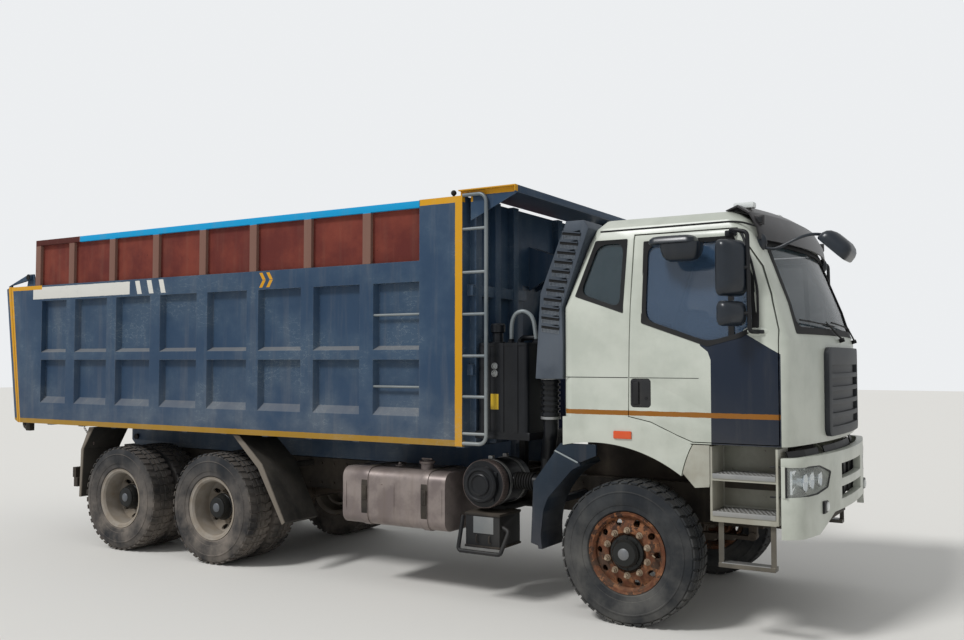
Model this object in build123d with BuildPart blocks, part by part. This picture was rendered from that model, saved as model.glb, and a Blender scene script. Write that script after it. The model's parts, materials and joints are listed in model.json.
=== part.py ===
"""Three-axle dump truck: tilting cab, steered front axle, twin rear wheels, tipping bed, front hoist.

Millimetres. +X is forward, +Y is the truck's left, +Z is up from the ground. Lengthwise places are
stations measured forward from the front axle, and at() moves them to the middle of the overall length.
"""
from math import atan2, degrees, hypot, radians, sqrt, tan
import os

from build123d import *

os.makedirs("parts", exist_ok=True)

# Front mirror's reach ahead of the front axle
front_reach = 1560.0

# Wheels
wheel_radius = 538.0
tyre_width = 312.0
rim_radius = 292.0
rim_width = 250.0
rim_wall = 12.0
front_track = 2020.0
rear_track = 1830.0
twin_spacing = 344.0
wheelbase = 4290.0
tandem = 1350.0

# Frame rails
rail_top = 1000.0
rail_height = 300.0
rail_flange = 80.0
rail_web = 10.0
frame_width = 865.0
frame_front = 1180.0
frame_rear = -6560.0
crossbar = 90.0

# Steering
kingpin_half = 840.0
kingpin_radius = 24.0
kingpin_clearance = 0.3
beam_width = 96.0
arm_back = -190.0
tie_rod_radius = 19.0

# Bed
bed_width = 2500.0
bed_front = -1386.0
bed_rear = -7364.0
bed_bottom = 1273.0
band_bottom = 2644.0
band_top = 2821.0
post_top = 3338.0
board_top = 3333.0
board_rear = -7109.0
skin = 8.0
rib_depth = 62.0
rib_face = 150.0
rib_flank = 22.0
rib_pitch = 681.5
first_rib = -2379.0
rib_count = 7
front_post_rear = -1815.0
rear_post_front = -6980.0
rear_slant_top = -7565.0
waist_bottom = 1984.0
waist_top = 2104.0
sill_top = 1506.0
sill_ledge_top = 1575.0
floor_top = 1330.0
floor_plate = 12.0
bed_sill_gap = 8.0
bed_sill_half = 392.0
bed_sill_width = 90.0
bed_pivot_x = -6350.0
bed_pivot_z = 1100.0
bed_pin_radius = 32.0
bearer_pitch = 545.0
canopy_front = -885.0
canopy_top = 3387.0

# Tailgate
tail_gap = 8.0
tail_plate = 10.0
tail_rib = 62.0
tail_hinge_x = -7250.0
tail_hinge_z = 2925.0
tail_pin_radius = 18.0
tail_arm_half = 1228.0
tail_arm_width = 30.0

# Hoist
hoist_x = -1090.0
hoist_base_z = 1090.0
hoist_eye_z = 2850.0
hoist_radius = 95.0
hoist_stage_step = 13.0
hoist_stage_wall = 12.0
hoist_ear_gap = 64.0

# Cab
cab_floor = 1385.0
cab_wall = 60.0
belt_nose = 1352.0
nose_crown = 5000.0
belt_half = 1236.0
handle_recess = 26.0
roof_crown = 4100.0
cab_front_corner = 125.0
cab_rear_corner = 80.0
belt_z = 2110.0
cab_pivot_x = 1250.0
cab_pivot_z = 1000.0
cab_pin_radius = 24.0
door_gap = 7.0
door_bevel = 2.5
glass_inset = 20.0
glass_thickness = 6.0

rear_reach = tail_gap + tail_plate + tail_rib - rear_slant_top
shift = (rear_reach - front_reach) / 2
rail_half = frame_width / 2
rail_bottom = rail_top - rail_height
front_x = shift
mid_x = shift - wheelbase
last_x = mid_x - tandem
# The steering arms point straight back, so the tie rod stays parallel to the axle
arm_half = kingpin_half


def at(station):
    """Row-frame x of a station measured forward from the front axle."""
    return station + shift


def both_sides(y):
    """A place and its mirror image across the truck."""
    return (-y, y)


def block(x, y, z, mode=Mode.ADD):
    """A box given by its low and high station, y and height."""
    with Locations((at((x[0] + x[1]) / 2), (y[0] + y[1]) / 2, (z[0] + z[1]) / 2)):
        Box(x[1] - x[0], abs(y[1] - y[0]), z[1] - z[0], mode=mode)


def bar(points, radius, bend):
    """Round bar along a path of rounded corners."""
    with BuildLine() as path:
        FilletPolyline(*points, radius=bend)
    with BuildSketch(Plane(origin=path.line @ 0, z_dir=path.line % 0)) as end:
        Circle(radius)
    with BuildPart() as rod:
        sweep(sections=end.sketch, path=path.line)
    return rod.part


def save(part, label):
    """Label one finished piece and write its STEP file."""
    part.label = label
    export_step(part, f"parts/{label}.step")


# Frame rails: two channels with the cab's pivot brackets on their front ends
tow_pin_radius = 20.0
tow_block_height = 90.0
tow_block_z = 800.0
jaw_radius = 25.0
jaw_z = 850.0
jaw_wall = 24.0
jaw_half_opening = 38.0
cross_stations = (-1560.0, -2700.0, -3600.0, -4965.0, -6250.0)
crossbar_z = 930.0
pivot_plate = 26.0
pivot_plate_half = 330.0
cab_arm_half = 520.0
cab_arm_width = 40.0
hoist_cradle_half = 112.0
hoist_pin_radius = 36.0
hoist_cradle_plate = 24.0

with BuildPart() as frame_rails:
    for side in both_sides(1):
        with BuildSketch(Plane.YZ.offset(at(frame_rear))) as channel:
            with Locations((side * (rail_half - rail_flange / 2), (rail_top + rail_bottom) / 2)):
                Rectangle(rail_flange, rail_height)
            with Locations((side * (rail_half - rail_web - rail_flange / 2), (rail_top + rail_bottom) / 2)):
                Rectangle(rail_flange, rail_height - 2 * rail_web, mode=Mode.SUBTRACT)
        extrude(amount=frame_front - frame_rear)
    # Cab pivot brackets ahead of the rails
    for side in both_sides(1):
        with BuildSketch(Plane.XZ.offset(side * (cab_arm_half - cab_arm_width) + 12)) as bracket:
            with BuildLine():
                Polyline((at(frame_front - 160), rail_bottom + 60), (at(frame_front - 160), rail_top - 20),
                         (at(cab_pivot_x) - 45, cab_pivot_z + 45), (at(cab_pivot_x) + 45, cab_pivot_z + 45),
                         (at(cab_pivot_x) + 45, cab_pivot_z - 60), (at(frame_front), rail_bottom + 60),
                         close=True)
            make_face()
        extrude(amount=-24)
        with Locations((at(frame_front - 80), side * (rail_half + 15), rail_bottom + 130)):
            Box(160, 50, 100)
        with Locations((at(cab_pivot_x), side * (cab_arm_half + 5), cab_pivot_z)):
            Cylinder(cab_pin_radius, cab_arm_width + 64, rotation=(90, 0, 0))

save(frame_rails.part, "frame_rails")

# Cross members: crossbars, tow members front and rear, the bed's pivot and the hoist's cradle
with BuildPart() as cross_members:
    for station in cross_stations:
        with Locations((at(station), 0, crossbar_z)):
            Cylinder(crossbar / 2, frame_width - 2 * rail_web, rotation=(90, 0, 0))
    # Front cross member with the vertical tow-pin bore
    with Locations((at(frame_front + 45), 0, tow_block_z)):
        Box(90, frame_width, tow_block_height)
    with Locations((at(frame_front + 45), 0, tow_block_z)):
        Cylinder(tow_pin_radius, tow_block_height, mode=Mode.SUBTRACT)
    # Rear cross member and the tow jaw behind it
    with Locations((at(frame_rear) - 8, 0, (rail_top + rail_bottom) / 2)):
        Box(16, frame_width, rail_height)
    for level in both_sides(jaw_half_opening + jaw_wall / 2):
        with Locations((at(frame_rear) - 56, 0, jaw_z + level)):
            Box(80, 140, jaw_wall)
        with Locations((at(frame_rear) - 96, 0, jaw_z + level)):
            Cylinder(70, jaw_wall)
    with Locations((at(frame_rear) - 96, 0, jaw_z)):
        Cylinder(jaw_radius, 2 * (jaw_half_opening + jaw_wall), mode=Mode.SUBTRACT)
    # Bed pivot brackets and their cross shaft
    for side in both_sides(pivot_plate_half):
        with BuildSketch(Plane.XZ.offset(-side + pivot_plate / 2)) as plate:
            with BuildLine():
                Polyline((at(bed_pivot_x) - 150, rail_top - 120), (at(bed_pivot_x) + 150, rail_top - 120),
                         (at(bed_pivot_x) + 60, bed_pivot_z + 30), (at(bed_pivot_x) - 60, bed_pivot_z + 30),
                         close=True)
            make_face()
            with Locations((at(bed_pivot_x), bed_pivot_z)):
                Circle(62)
        extrude(amount=-pivot_plate)
    with Locations((at(bed_pivot_x), 0, bed_pivot_z)):
        Cylinder(bed_pin_radius, 2 * (bed_sill_half + bed_sill_width / 2 + 18), rotation=(90, 0, 0))
    with Locations((at(bed_pivot_x), 0, rail_top - 100)):
        Box(120, 2 * pivot_plate_half + pivot_plate, 40)
    # Hoist cradle between the rails
    for side in both_sides(hoist_cradle_half + hoist_cradle_plate / 2):
        with BuildSketch(Plane.XZ.offset(-side + hoist_cradle_plate / 2)) as cheek:
            with BuildLine():
                Polyline((at(hoist_x) - 110, rail_top), (at(hoist_x) + 110, rail_top),
                         (at(hoist_x) + 60, hoist_base_z + 20), (at(hoist_x) - 60, hoist_base_z + 20),
                         close=True)
            make_face()
            with Locations((at(hoist_x), hoist_base_z)):
                Circle(62)
                Circle(hoist_pin_radius + kingpin_clearance, mode=Mode.SUBTRACT)
        extrude(amount=-hoist_cradle_plate)
    for offset_x in both_sides(110):
        cradle_x = (hoist_x + offset_x - 35, hoist_x + offset_x + 35)
        block(cradle_x, (-rail_half, rail_half), (rail_top, rail_top + 24))

save(cross_members.part, "cross_members")

# Front axle: a dropped beam with an eye for the kingpin at each end
eye_radius = 46.0
eye_height = 96.0
beam_drop = 90.0

with BuildPart() as front_axle:
    with BuildSketch(Plane.YZ.offset(front_x - beam_width / 2)) as beam:
        with BuildLine():
            Polyline((-kingpin_half, wheel_radius - 40), (-kingpin_half, wheel_radius + 40),
                     (-600, wheel_radius - beam_drop + 75), (600, wheel_radius - beam_drop + 75),
                     (kingpin_half, wheel_radius + 40), (kingpin_half, wheel_radius - 40),
                     (660, wheel_radius - 52), (560, wheel_radius - beam_drop - 25),
                     (-560, wheel_radius - beam_drop - 25), (-660, wheel_radius - 52), close=True)
        make_face()
    extrude(amount=beam_width)
    for side in both_sides(kingpin_half):
        with Locations((front_x, side, wheel_radius)):
            Cylinder(eye_radius, eye_height)
            Cylinder(kingpin_radius + kingpin_clearance, eye_height, mode=Mode.SUBTRACT)
    for side in both_sides(rail_half - rail_flange / 2):
        with Locations((front_x, side, wheel_radius - beam_drop + 88)):
            Box(220, 90, 26)

save(front_axle.part, "front_axle")

# Rear axles: a banjo housing with two tubes, one for each driven axle
housing_radius = 215.0
nose_length = 260.0
shaft_lift = 60.0
rear_spring_half = rail_half + 75.0
trunnion_z = 470.0
leaf_width = 80.0
leaf_thickness = 14.0
rear_leaves = ((1440, 0), (1440, 1), (1200, 2), (980, 3), (760, 4), (540, 5), (340, 6), (240, 7))
seat_top = trunnion_z + 80 + leaf_thickness * (len(rear_leaves) - 2)
tube_radius = 75.0
spindle_radius = 58.0
spindle_half = rear_track / 2 + 175.0

with BuildPart() as rear_axles:
    for x in (mid_x, last_x):
        with Locations((x, 0, wheel_radius)):
            Cylinder(housing_radius, 190, rotation=(0, 90, 0))
            Cylinder(tube_radius, 2 * (rear_track / 2 - twin_spacing / 2 - 160), rotation=(90, 0, 0))
            Cylinder(spindle_radius, 2 * spindle_half, rotation=(90, 0, 0))
        with BuildSketch(Plane.YZ.offset(x + 90)) as nose_base:
            with Locations((0, wheel_radius)):
                Circle(150)
        with BuildSketch(Plane.YZ.offset(x + nose_length)) as nose_tip:
            with Locations((0, wheel_radius + shaft_lift)):
                Circle(75)
        loft(sections=[nose_base.sketch, nose_tip.sketch])
        for side in both_sides(rear_spring_half):
            with Locations((x, side, (wheel_radius + tube_radius - 12 + seat_top) / 2)):
                Box(130, 90, seat_top - wheel_radius - tube_radius + 12)
    with Locations((mid_x - 150, 0, wheel_radius + shaft_lift)):
        Cylinder(60, 110, rotation=(0, 90, 0))

save(rear_axles.part, "rear_axles")

# Leaf springs: front packs over the beam, rear packs hung from the trunnion between the axles
front_leaves = ((1500, 0), (1500, 1), (1200, 2), (900, 3), (600, 4))
front_spring_z = wheel_radius - beam_drop + 101
spring_half = rail_half - rail_flange / 2

with BuildPart() as leaf_springs:
    for side in both_sides(spring_half):
        for length, level in front_leaves:
            leaf_z = front_spring_z + leaf_thickness * (len(front_leaves) - level - 0.5)
            with Locations((front_x, side, leaf_z)):
                Box(length, leaf_width, leaf_thickness)
        for end in both_sides(745):
            with Locations((front_x + end, side, front_spring_z + leaf_thickness * len(front_leaves))):
                Cylinder(32, leaf_width, rotation=(90, 0, 0))
        for end in both_sides(110):
            with Locations((front_x + end * 0.8, side, front_spring_z + 38)):
                Box(30, leaf_width + 24, 76)
        with Locations((front_x + 745, side, (rail_bottom + front_spring_z + 80) / 2)):
            Box(60, 50, rail_bottom - front_spring_z - 80)
        with Locations((front_x - 745, side, (rail_bottom + front_spring_z + 80) / 2)):
            Box(60, 50, rail_bottom - front_spring_z - 80)
    for side in both_sides(rear_spring_half):
        centre = (mid_x + last_x) / 2
        for length, level in rear_leaves:
            leaf_z = trunnion_z + 80 + leaf_thickness * (len(rear_leaves) - level - 0.5)
            with Locations((centre, side, leaf_z)):
                Box(length, leaf_width, leaf_thickness)
        with Locations((centre, side, trunnion_z)):
            Cylinder(95, 130, rotation=(90, 0, 0))
        with Locations((centre, side, trunnion_z + 120)):
            Box(170, 110, 220)
    with Locations(((mid_x + last_x) / 2, 0, trunnion_z)):
        Cylinder(50, 2 * rear_spring_half, rotation=(90, 0, 0))
    for side in both_sides(rail_half - 30):
        with Locations(((mid_x + last_x) / 2, side, (trunnion_z + rail_bottom) / 2)):
            Box(240, 60, rail_bottom - trunnion_z)

save(leaf_springs.part, "leaf_springs")

# Driveline: engine and gearbox as plain blocks, the radiator ahead of them, and the shafts
engine_rear = -700.0
engine_front = 760.0
engine_half = 300.0
gearbox_rear = -1300.0
gearbox_z = 745.0
radiator_front = 1010.0
radiator_thickness = 140.0

with BuildPart() as engine_block:
    with BuildSketch(Plane.YZ.offset(at(engine_rear))) as engine_section:
        with BuildLine():
            Polyline((-engine_half, 1000), (-engine_half, 1290), (-180, 1350), (180, 1350),
                     (engine_half, 1290), (engine_half, 1000), (190, 860), (170, 640), (-170, 640),
                     (-190, 860), close=True)
        make_face()
    extrude(amount=engine_front - engine_rear)
    with BuildSketch(Plane.YZ.offset(at(engine_rear))) as bell:
        with Locations((0, 860)):
            Circle(230)
    with BuildSketch(Plane.YZ.offset(at(gearbox_rear))) as box_end:
        with Locations((0, gearbox_z)):
            Circle(120)
    loft(sections=[bell.sketch, box_end.sketch])
    for side in both_sides(1):
        block((250, 350), (side * 240, side * (rail_half - rail_web)), (910, 985))

save(engine_block.part, "engine_block")

with BuildPart() as radiator:
    with Locations((at(radiator_front) - radiator_thickness / 2, 0, 1060)):
        Box(radiator_thickness, 690, 560)
    with Locations((at(radiator_front) + 20, 0, 1060)):
        Box(40, 640, 470)
    with Locations((at(radiator_front) - radiator_thickness - 10, 0, 1080)):
        Cylinder(240, 20, rotation=(0, 90, 0))
    for side in both_sides(1):
        block((890, 960), (side * 330, side * (rail_half - rail_web)), (900, 970))

save(radiator.part, "radiator")

shaft_radius = 45.0
yoke_radius = 60.0
yoke_length = 60.0
prop_middle = -2700.0

with BuildPart() as drive_shafts:
    # Front x, front height, rear x, rear height of each shaft, yokes included
    runs = (
        (at(gearbox_rear), gearbox_z, at(prop_middle), gearbox_z),
        (at(prop_middle), gearbox_z, mid_x + nose_length, wheel_radius + shaft_lift),
        (mid_x - 205, wheel_radius + shaft_lift, last_x + nose_length, wheel_radius + shaft_lift),
    )
    for front_end, front_z, rear_end, rear_z in runs:
        start_x = front_end - yoke_length / 2
        end_x = rear_end + yoke_length / 2
        with BuildSketch(Plane(origin=(start_x, 0, front_z), x_dir=(0, 1, 0),
                               z_dir=(end_x - start_x, 0, rear_z - front_z))):
            Circle(shaft_radius)
        extrude(amount=hypot(start_x - end_x, front_z - rear_z))
        for x, z in ((start_x, front_z), (end_x, rear_z)):
            with Locations((x, 0, z)):
                Cylinder(yoke_radius, yoke_length, rotation=(0, 90, 0))

save(drive_shafts.part, "drive_shafts")

# Front bumper: a shell crowned across the truck, wrapped round each corner, with lamp openings
bumper_nose = 1415.0
bumper_top = 1310.0
bumper_bottom = 760.0
bumper_middle_bottom = 880.0
bumper_side = 1165.0
bumper_half = 1236.0
bumper_thickness = 55.0
bumper_crown = 5200.0
lamp_low = 1045.0
lamp_high = 1250.0
lamp_inner = 640.0


def crowned_plan(nose, crown, half, corner, rear=600.0):
    """Plan outline with a crowned nose, straight sides and rounded front corners."""
    drop = crown - sqrt(crown ** 2 - half ** 2)
    with BuildSketch() as plan:
        with BuildLine():
            ThreePointArc((at(nose - drop), -half), (at(nose), 0), (at(nose - drop), half))
            Polyline((at(nose - drop), half), (at(rear), half), (at(rear), -half), (at(nose - drop), -half))
        make_face()
        fillet(plan.vertices().sort_by(Axis.X)[-2:], corner)
    return plan.sketch


bumper_skin = crowned_plan(bumper_nose, bumper_crown, bumper_half, 190)
bumper_core = crowned_plan(bumper_nose - bumper_thickness, bumper_crown, bumper_half - bumper_thickness, 140)

with BuildPart() as front_bumper:
    with BuildSketch(Plane.XY.offset(bumper_bottom)) as bumper_plan:
        add(bumper_skin)
        add(bumper_core, mode=Mode.SUBTRACT)
        with Locations((at(bumper_side) - 500, 0)):
            Rectangle(1000, 3000, mode=Mode.SUBTRACT)
    extrude(amount=bumper_top - bumper_bottom)
    with BuildSketch(Plane.YZ.offset(at(bumper_side - 20))) as front_cut:
        with BuildLine():
            Polyline((-880, bumper_bottom - 5), (-560, bumper_middle_bottom), (560, bumper_middle_bottom),
                     (880, bumper_bottom - 5), close=True)
        make_face()
        with Locations((0, 1000)):
            Rectangle(760, 90)
        with Locations((0, 1160)):
            Rectangle(760, 110)
        for side in both_sides(1):
            with BuildLine():
                Polyline((side * 1300, lamp_low), (side * 1300, lamp_high), (side * 860, lamp_high - 12),
                         (side * lamp_inner, lamp_high - 70), (side * (lamp_inner + 60), lamp_low + 30),
                         (side * 900, lamp_low), close=True)
            make_face()
    extrude(amount=300, mode=Mode.SUBTRACT)
    # Brackets that carry the bumper on the frame
    for side in both_sides(rail_half - 30):
        with Locations((at(1265), side, 950)):
            Box(170, 60, 70)

save(front_bumper.part, "front_bumper")

lamp_skin = crowned_plan(bumper_nose - 6, bumper_crown, bumper_half - 6, 184)
lamp_core = crowned_plan(bumper_nose - 90, bumper_crown, bumper_half - 90, 110)

with BuildPart() as headlamps:
    with BuildSketch(Plane.XY.offset(lamp_low)) as lamp_plan:
        add(lamp_skin)
        add(lamp_core, mode=Mode.SUBTRACT)
        with Locations((at(bumper_side) + 30 - 500, 0)):
            Rectangle(1000, 3000, mode=Mode.SUBTRACT)
    extrude(amount=lamp_high - lamp_low)
    with BuildSketch(Plane.YZ.offset(at(bumper_side - 20))) as lamp_front:
        for side in both_sides(1):
            with BuildLine():
                Polyline((side * 1300, lamp_low), (side * 1300, lamp_high), (side * 860, lamp_high - 12),
                         (side * lamp_inner, lamp_high - 70), (side * (lamp_inner + 60), lamp_low + 30),
                         (side * 900, lamp_low), close=True)
            make_face()
    extrude(amount=300, mode=Mode.INTERSECT)

save(headlamps.part, "headlamps")

# Entry steps: a step box ahead of each front wheel with two treads and a hanging stirrup
step_front = 1146.0
step_rear = 672.0
step_outer = 1225.0
step_depth = 260.0
stirrup_z = 545.0
flare_depth = 60.0
arch_cut_radius = 800.0

with BuildPart() as entry_steps:
    for side in both_sides(1):
        inner = step_outer - step_depth
        with Locations((at((step_front + step_rear) / 2), side * (inner - 8), 1110)):
            Box(step_front - step_rear, 16, 520)
        for end in (step_front - 8, step_rear + 8):
            with Locations((at(end), side * (step_outer - step_depth / 2), 1110)):
                Box(16, step_depth, 520)
        for level, thickness in ((1155, 45), (880, 70)):
            with Locations((at((step_front + step_rear) / 2), side * (step_outer - step_depth / 2), level)):
                Box(step_front - step_rear - 32, step_depth, thickness)
        for end in (step_front - 45, step_rear + 65):
            with Locations((at(end), side * (step_outer - 40), (845 + stirrup_z) / 2)):
                Box(36, 12, 845 - stirrup_z)
        with Locations((at((step_front + step_rear) / 2 + 10), side * (step_outer - 60), stirrup_z)):
            Box(step_front - step_rear - 80, 90, 30)
        # Arm to the frame
        with Locations((at((step_front + step_rear) / 2), side * (rail_half + inner) / 2, 900)):
            Box(90, inner - rail_half, 90)
        # Foot of the wheel arch, cut to an arc about the cab's pivot
        with BuildSketch(Plane.XZ.offset(-side * (belt_half - flare_depth))) as arch_foot:
            with BuildLine():
                Polyline((at(565), 1073), (at(668), 1084), (at(step_rear), 1110),
                         (at(step_rear), cab_floor - 8), (at(480), cab_floor - 8), (at(400), 1178),
                         (at(470), 1178), close=True)
            make_face()
            with Locations((at(cab_pivot_x), cab_pivot_z)):
                Circle(arch_cut_radius - door_gap, mode=Mode.INTERSECT)
        extrude(amount=-side * flare_depth)

save(entry_steps.part, "entry_steps")

# Front mudguards: a curved guard behind each front wheel, hung from a frame stay
guard_half_low = 860.0
guard_half_high = 1240.0

with BuildPart() as front_mudguards:
    for side in both_sides(1):
        middle = side * (guard_half_low + guard_half_high) / 2
        with BuildSketch(Plane.XZ.offset(-middle)) as guard:
            with BuildLine():
                ThreePointArc((front_x - 655, wheel_radius - 20), (front_x - 620, 885), (front_x - 330, 1180))
                Line((front_x - 330, 1180), (front_x - 350, 1215))
                ThreePointArc((front_x - 350, 1215), (front_x - 655, 905), (front_x - 690, wheel_radius - 20))
                Line((front_x - 690, wheel_radius - 20), (front_x - 655, wheel_radius - 20))
            make_face()
        extrude(amount=(guard_half_high - guard_half_low) / 2, both=True)
        with BuildSketch(Plane.XZ.offset(-side * (guard_half_high - 6))) as lip:
            with BuildLine():
                Polyline((front_x - 350, 1200), (front_x - 540, 1282), (front_x - 733, 1029),
                         (front_x - 756, 558), (front_x - 680, wheel_radius), (front_x - 640, 880),
                         close=True)
            make_face()
        extrude(amount=6, both=True)
        block((-700, -640), (side * rail_half, side * (guard_half_low + 20)), (835, 885))

save(front_mudguards.part, "front_mudguards")

# Rear mudguards: inclined guards before and after the rear wheels on both sides
flap_half_low = 720.0
flap_half_high = 1190.0

with BuildPart() as rear_mudguards:
    guards = (
        ((-4040, 1255), (-3960, 1255), (-3660, 1000), (-3370, 480), (-3400, 455), (-3710, 960)),
        ((-6130, 1255), (-6200, 1255), (-6330, 1010), (-6350, 500), (-6320, 500), (-6290, 1020)),
    )
    for side in both_sides(1):
        for outline in guards:
            with BuildSketch(Plane.XZ.offset(-side * flap_half_low)) as flap:
                with BuildLine():
                    Polyline(*[(at(x), z) for x, z in outline], close=True)
                make_face()
            extrude(amount=-side * (flap_half_high - flap_half_low))
        for station in (-3700, -6300):
            block((station - 26, station + 26), (side * rail_half, side * (flap_half_low + 20)), (924, 976))

save(rear_mudguards.part, "rear_mudguards")

# Fuel tank with its straps and brackets, on the right
tank_front = -1575.0
tank_rear = -2655.0
tank_outer = 1215.0
tank_inner = 600.0
tank_top = 1040.0
tank_bottom = 550.0
tank_corner = 90.0

with BuildPart() as fuel_tank:
    with BuildSketch(Plane.YZ.offset(at(tank_rear))) as tank_section:
        with Locations((-(tank_outer + tank_inner) / 2, (tank_top + tank_bottom) / 2)):
            RectangleRounded(tank_outer - tank_inner, tank_top - tank_bottom, tank_corner)
    extrude(amount=tank_front - tank_rear)
    for station in (tank_rear + 210, tank_front - 240):
        with BuildSketch(Plane.YZ.offset(at(station))) as strap:
            with Locations((-(tank_outer + tank_inner) / 2, (tank_top + tank_bottom) / 2)):
                RectangleRounded(tank_outer - tank_inner + 16, tank_top - tank_bottom + 16, tank_corner + 8)
        extrude(amount=70)
        with Locations((at(station + 35), -(rail_half + tank_inner) / 2, 850)):
            Box(70, tank_inner - rail_half, 280)
    with Locations((at(-1900), -1000, tank_top + 20)):
        Cylinder(55, 60)

save(fuel_tank.part, "fuel_tank")

# Hydraulic oil tank behind the cab, on the right
oil_front = -835.0
oil_rear = -1300.0
oil_outer = 1150.0
oil_inner = 560.0
oil_bottom = 1400.0
oil_top = 2120.0
oil_middle = (oil_front + oil_rear) / 2

with BuildPart() as oil_tank:
    block((oil_rear, oil_front), (-oil_outer, -oil_inner), (oil_bottom, oil_top))
    fillet(oil_tank.edges().filter_by(Axis.Z), 40)
    with Locations((at(oil_rear + 110), -1000, oil_top + 40)):
        Cylinder(45, 90)
    for offset_x in (-130, 0, 130):
        band_x = (oil_middle + offset_x - 20, oil_middle + offset_x + 20)
        block(band_x, (-oil_outer - 8, -oil_outer), (oil_bottom, oil_top))
    block((oil_rear - 20, oil_front + 20), (-oil_outer, -rail_half), (oil_bottom - 60, oil_bottom))
    for station in (oil_front - 60, oil_rear + 60):
        block((station - 30, station + 30), (-rail_half - 60, -rail_half), (rail_top - 140, oil_bottom - 60))

save(oil_tank.part, "oil_tank")

# Air cleaner: a drum across the truck under the oil tank, its duct up to the rubber bellows
cleaner_x = -1265.0
cleaner_z = 965.0
cleaner_radius = 190.0
bellows_x = -670.0
bellows_y = 1060.0
bellows_top = 1828.0
bellows_bottom = 1530.0
bellows_radius = 75.0
bellows_folds = 7
bellows_pitch = 43.0
pipe_radius = 58.0

with BuildPart() as air_cleaner:
    with Locations((at(cleaner_x), -880, cleaner_z)):
        Cylinder(cleaner_radius, 480, rotation=(90, 0, 0))
    with Locations((at(cleaner_x), -1135, cleaner_z)):
        Cylinder(135, 50, rotation=(90, 0, 0))
    block((cleaner_x - 150, cleaner_x - 40), (-680, -rail_half), (cleaner_z - 60, cleaner_z + 20))
    # Intake pipe from the drum's side up to the bellows
    with BuildLine() as pipe_path:
        FilletPolyline((at(cleaner_x + 150), -900, cleaner_z + 20),
                       (at(bellows_x - 110), -900, cleaner_z + 20),
                       (at(bellows_x - 110), -900, 1200), (at(bellows_x), -bellows_y, 1400),
                       (at(bellows_x), -bellows_y, bellows_bottom), radius=70)
    with BuildSketch(Plane(origin=pipe_path.line @ 0, z_dir=pipe_path.line % 0)) as pipe_end:
        Circle(pipe_radius)
    sweep(path=pipe_path.line)
    with Locations((at(bellows_x), -bellows_y, (bellows_top + bellows_bottom) / 2)):
        Cylinder(bellows_radius - 12, bellows_top - bellows_bottom)
    for fold in range(bellows_folds):
        with Locations((at(bellows_x), -bellows_y, bellows_bottom + 20 + fold * bellows_pitch)):
            Cylinder(bellows_radius, 22)

save(air_cleaner.part, "air_cleaner")

# Battery box with its guard hoop, low on the right
battery_front = -1060.0
battery_rear = -1440.0

hoop_path = ((at(battery_rear - 10), -1130, 700), (at(battery_rear - 25), -1185, 420),
             (at(battery_front - 5), -1185, 420), (at(battery_front + 40), -1120, 600),
             (at(battery_front - 60), -1100, 640))
guard_hoop = bar(hoop_path, 17, 30)

with BuildPart() as battery_box:
    block((battery_rear + 30, battery_front - 30), (-1150, -810), (460, 720))
    block((battery_rear + 120, battery_front - 120), (-900, -rail_half), (720, 765))
    add(guard_hoop)

save(battery_box.part, "battery_box")

# Air tanks and muffler on the left
with BuildPart() as air_tanks:
    for station in (-1950, -3000):
        with Locations((at(station), 700, 820)):
            Cylinder(135, 760, rotation=(0, 90, 0))
        block((station - 40, station + 40), (rail_half, 600), (805, 895))

save(air_tanks.part, "air_tanks")

with BuildPart() as muffler:
    with Locations((at(-1150), 860, 800)):
        Box(620, 520, 460)
    fillet(muffler.edges().filter_by(Axis.X), 100)
    block((-1250, -1050), (rail_half, 620), (790, 910))
    with Locations((at(-1150), 860, 1080)):
        Cylinder(60, 160)

save(muffler.part, "muffler")

# Rear lamps on the underrun bar
with BuildPart() as rear_lamps:
    block((-6540, -6480), (-1120, 1120), (590, 690))
    for side in both_sides(1):
        block((-6540, -6480), (side * (rail_half - 70), side * (rail_half - 20)), (690, rail_bottom))
        block((-6560, -6510), (side * 800, side * 1120), (690, 800))

save(rear_lamps.part, "rear_lamps")

# Steering knuckles: fork round the beam's eye, kingpin, spindle and steering arm
spindle_end = front_track / 2 + 95.0
fork_gap = 6.0
fork_thickness = 44.0
arm_z = wheel_radius - eye_height / 2 - fork_gap - fork_thickness + 14

for name, side in (("left", 1), ("right", -1)):
    with BuildPart() as knuckle:
        y = side * kingpin_half
        with Locations((front_x, y, wheel_radius)):
            Cylinder(kingpin_radius, eye_height + 2 * fork_gap + 2 * fork_thickness)
        for level in both_sides(eye_height / 2 + fork_gap + fork_thickness / 2):
            with Locations((front_x, y, wheel_radius + level)):
                Cylinder(52, fork_thickness)
            with Locations((front_x, y + side * 55, wheel_radius + level)):
                Box(100, 90, fork_thickness)
        with Locations((front_x, y + side * 78, wheel_radius)):
            Box(130, 44, eye_height + 2 * fork_gap + 2 * fork_thickness)
        reach = spindle_end - kingpin_half - 78
        with Locations((front_x, y + side * (78 + reach / 2), wheel_radius)):
            Cylinder(45, reach, rotation=(90, 0, 0))
        with BuildSketch(Plane.XY.offset(arm_z - 14)) as arm:
            with BuildLine():
                Polyline((front_x + 20, y), (front_x + 20, y + side * 40), (front_x - 60, y + side * 30),
                         (front_x + arm_back, side * (arm_half + 26)),
                         (front_x + arm_back, side * (arm_half - 26)), close=True)
            make_face()
            with Locations((front_x + arm_back, side * arm_half)):
                Circle(34)
        extrude(amount=28)
        with Locations((front_x + arm_back, side * arm_half, arm_z)):
            Cylinder(14, 28, mode=Mode.SUBTRACT)
    save(knuckle.part, f"knuckle_{name}")

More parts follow.
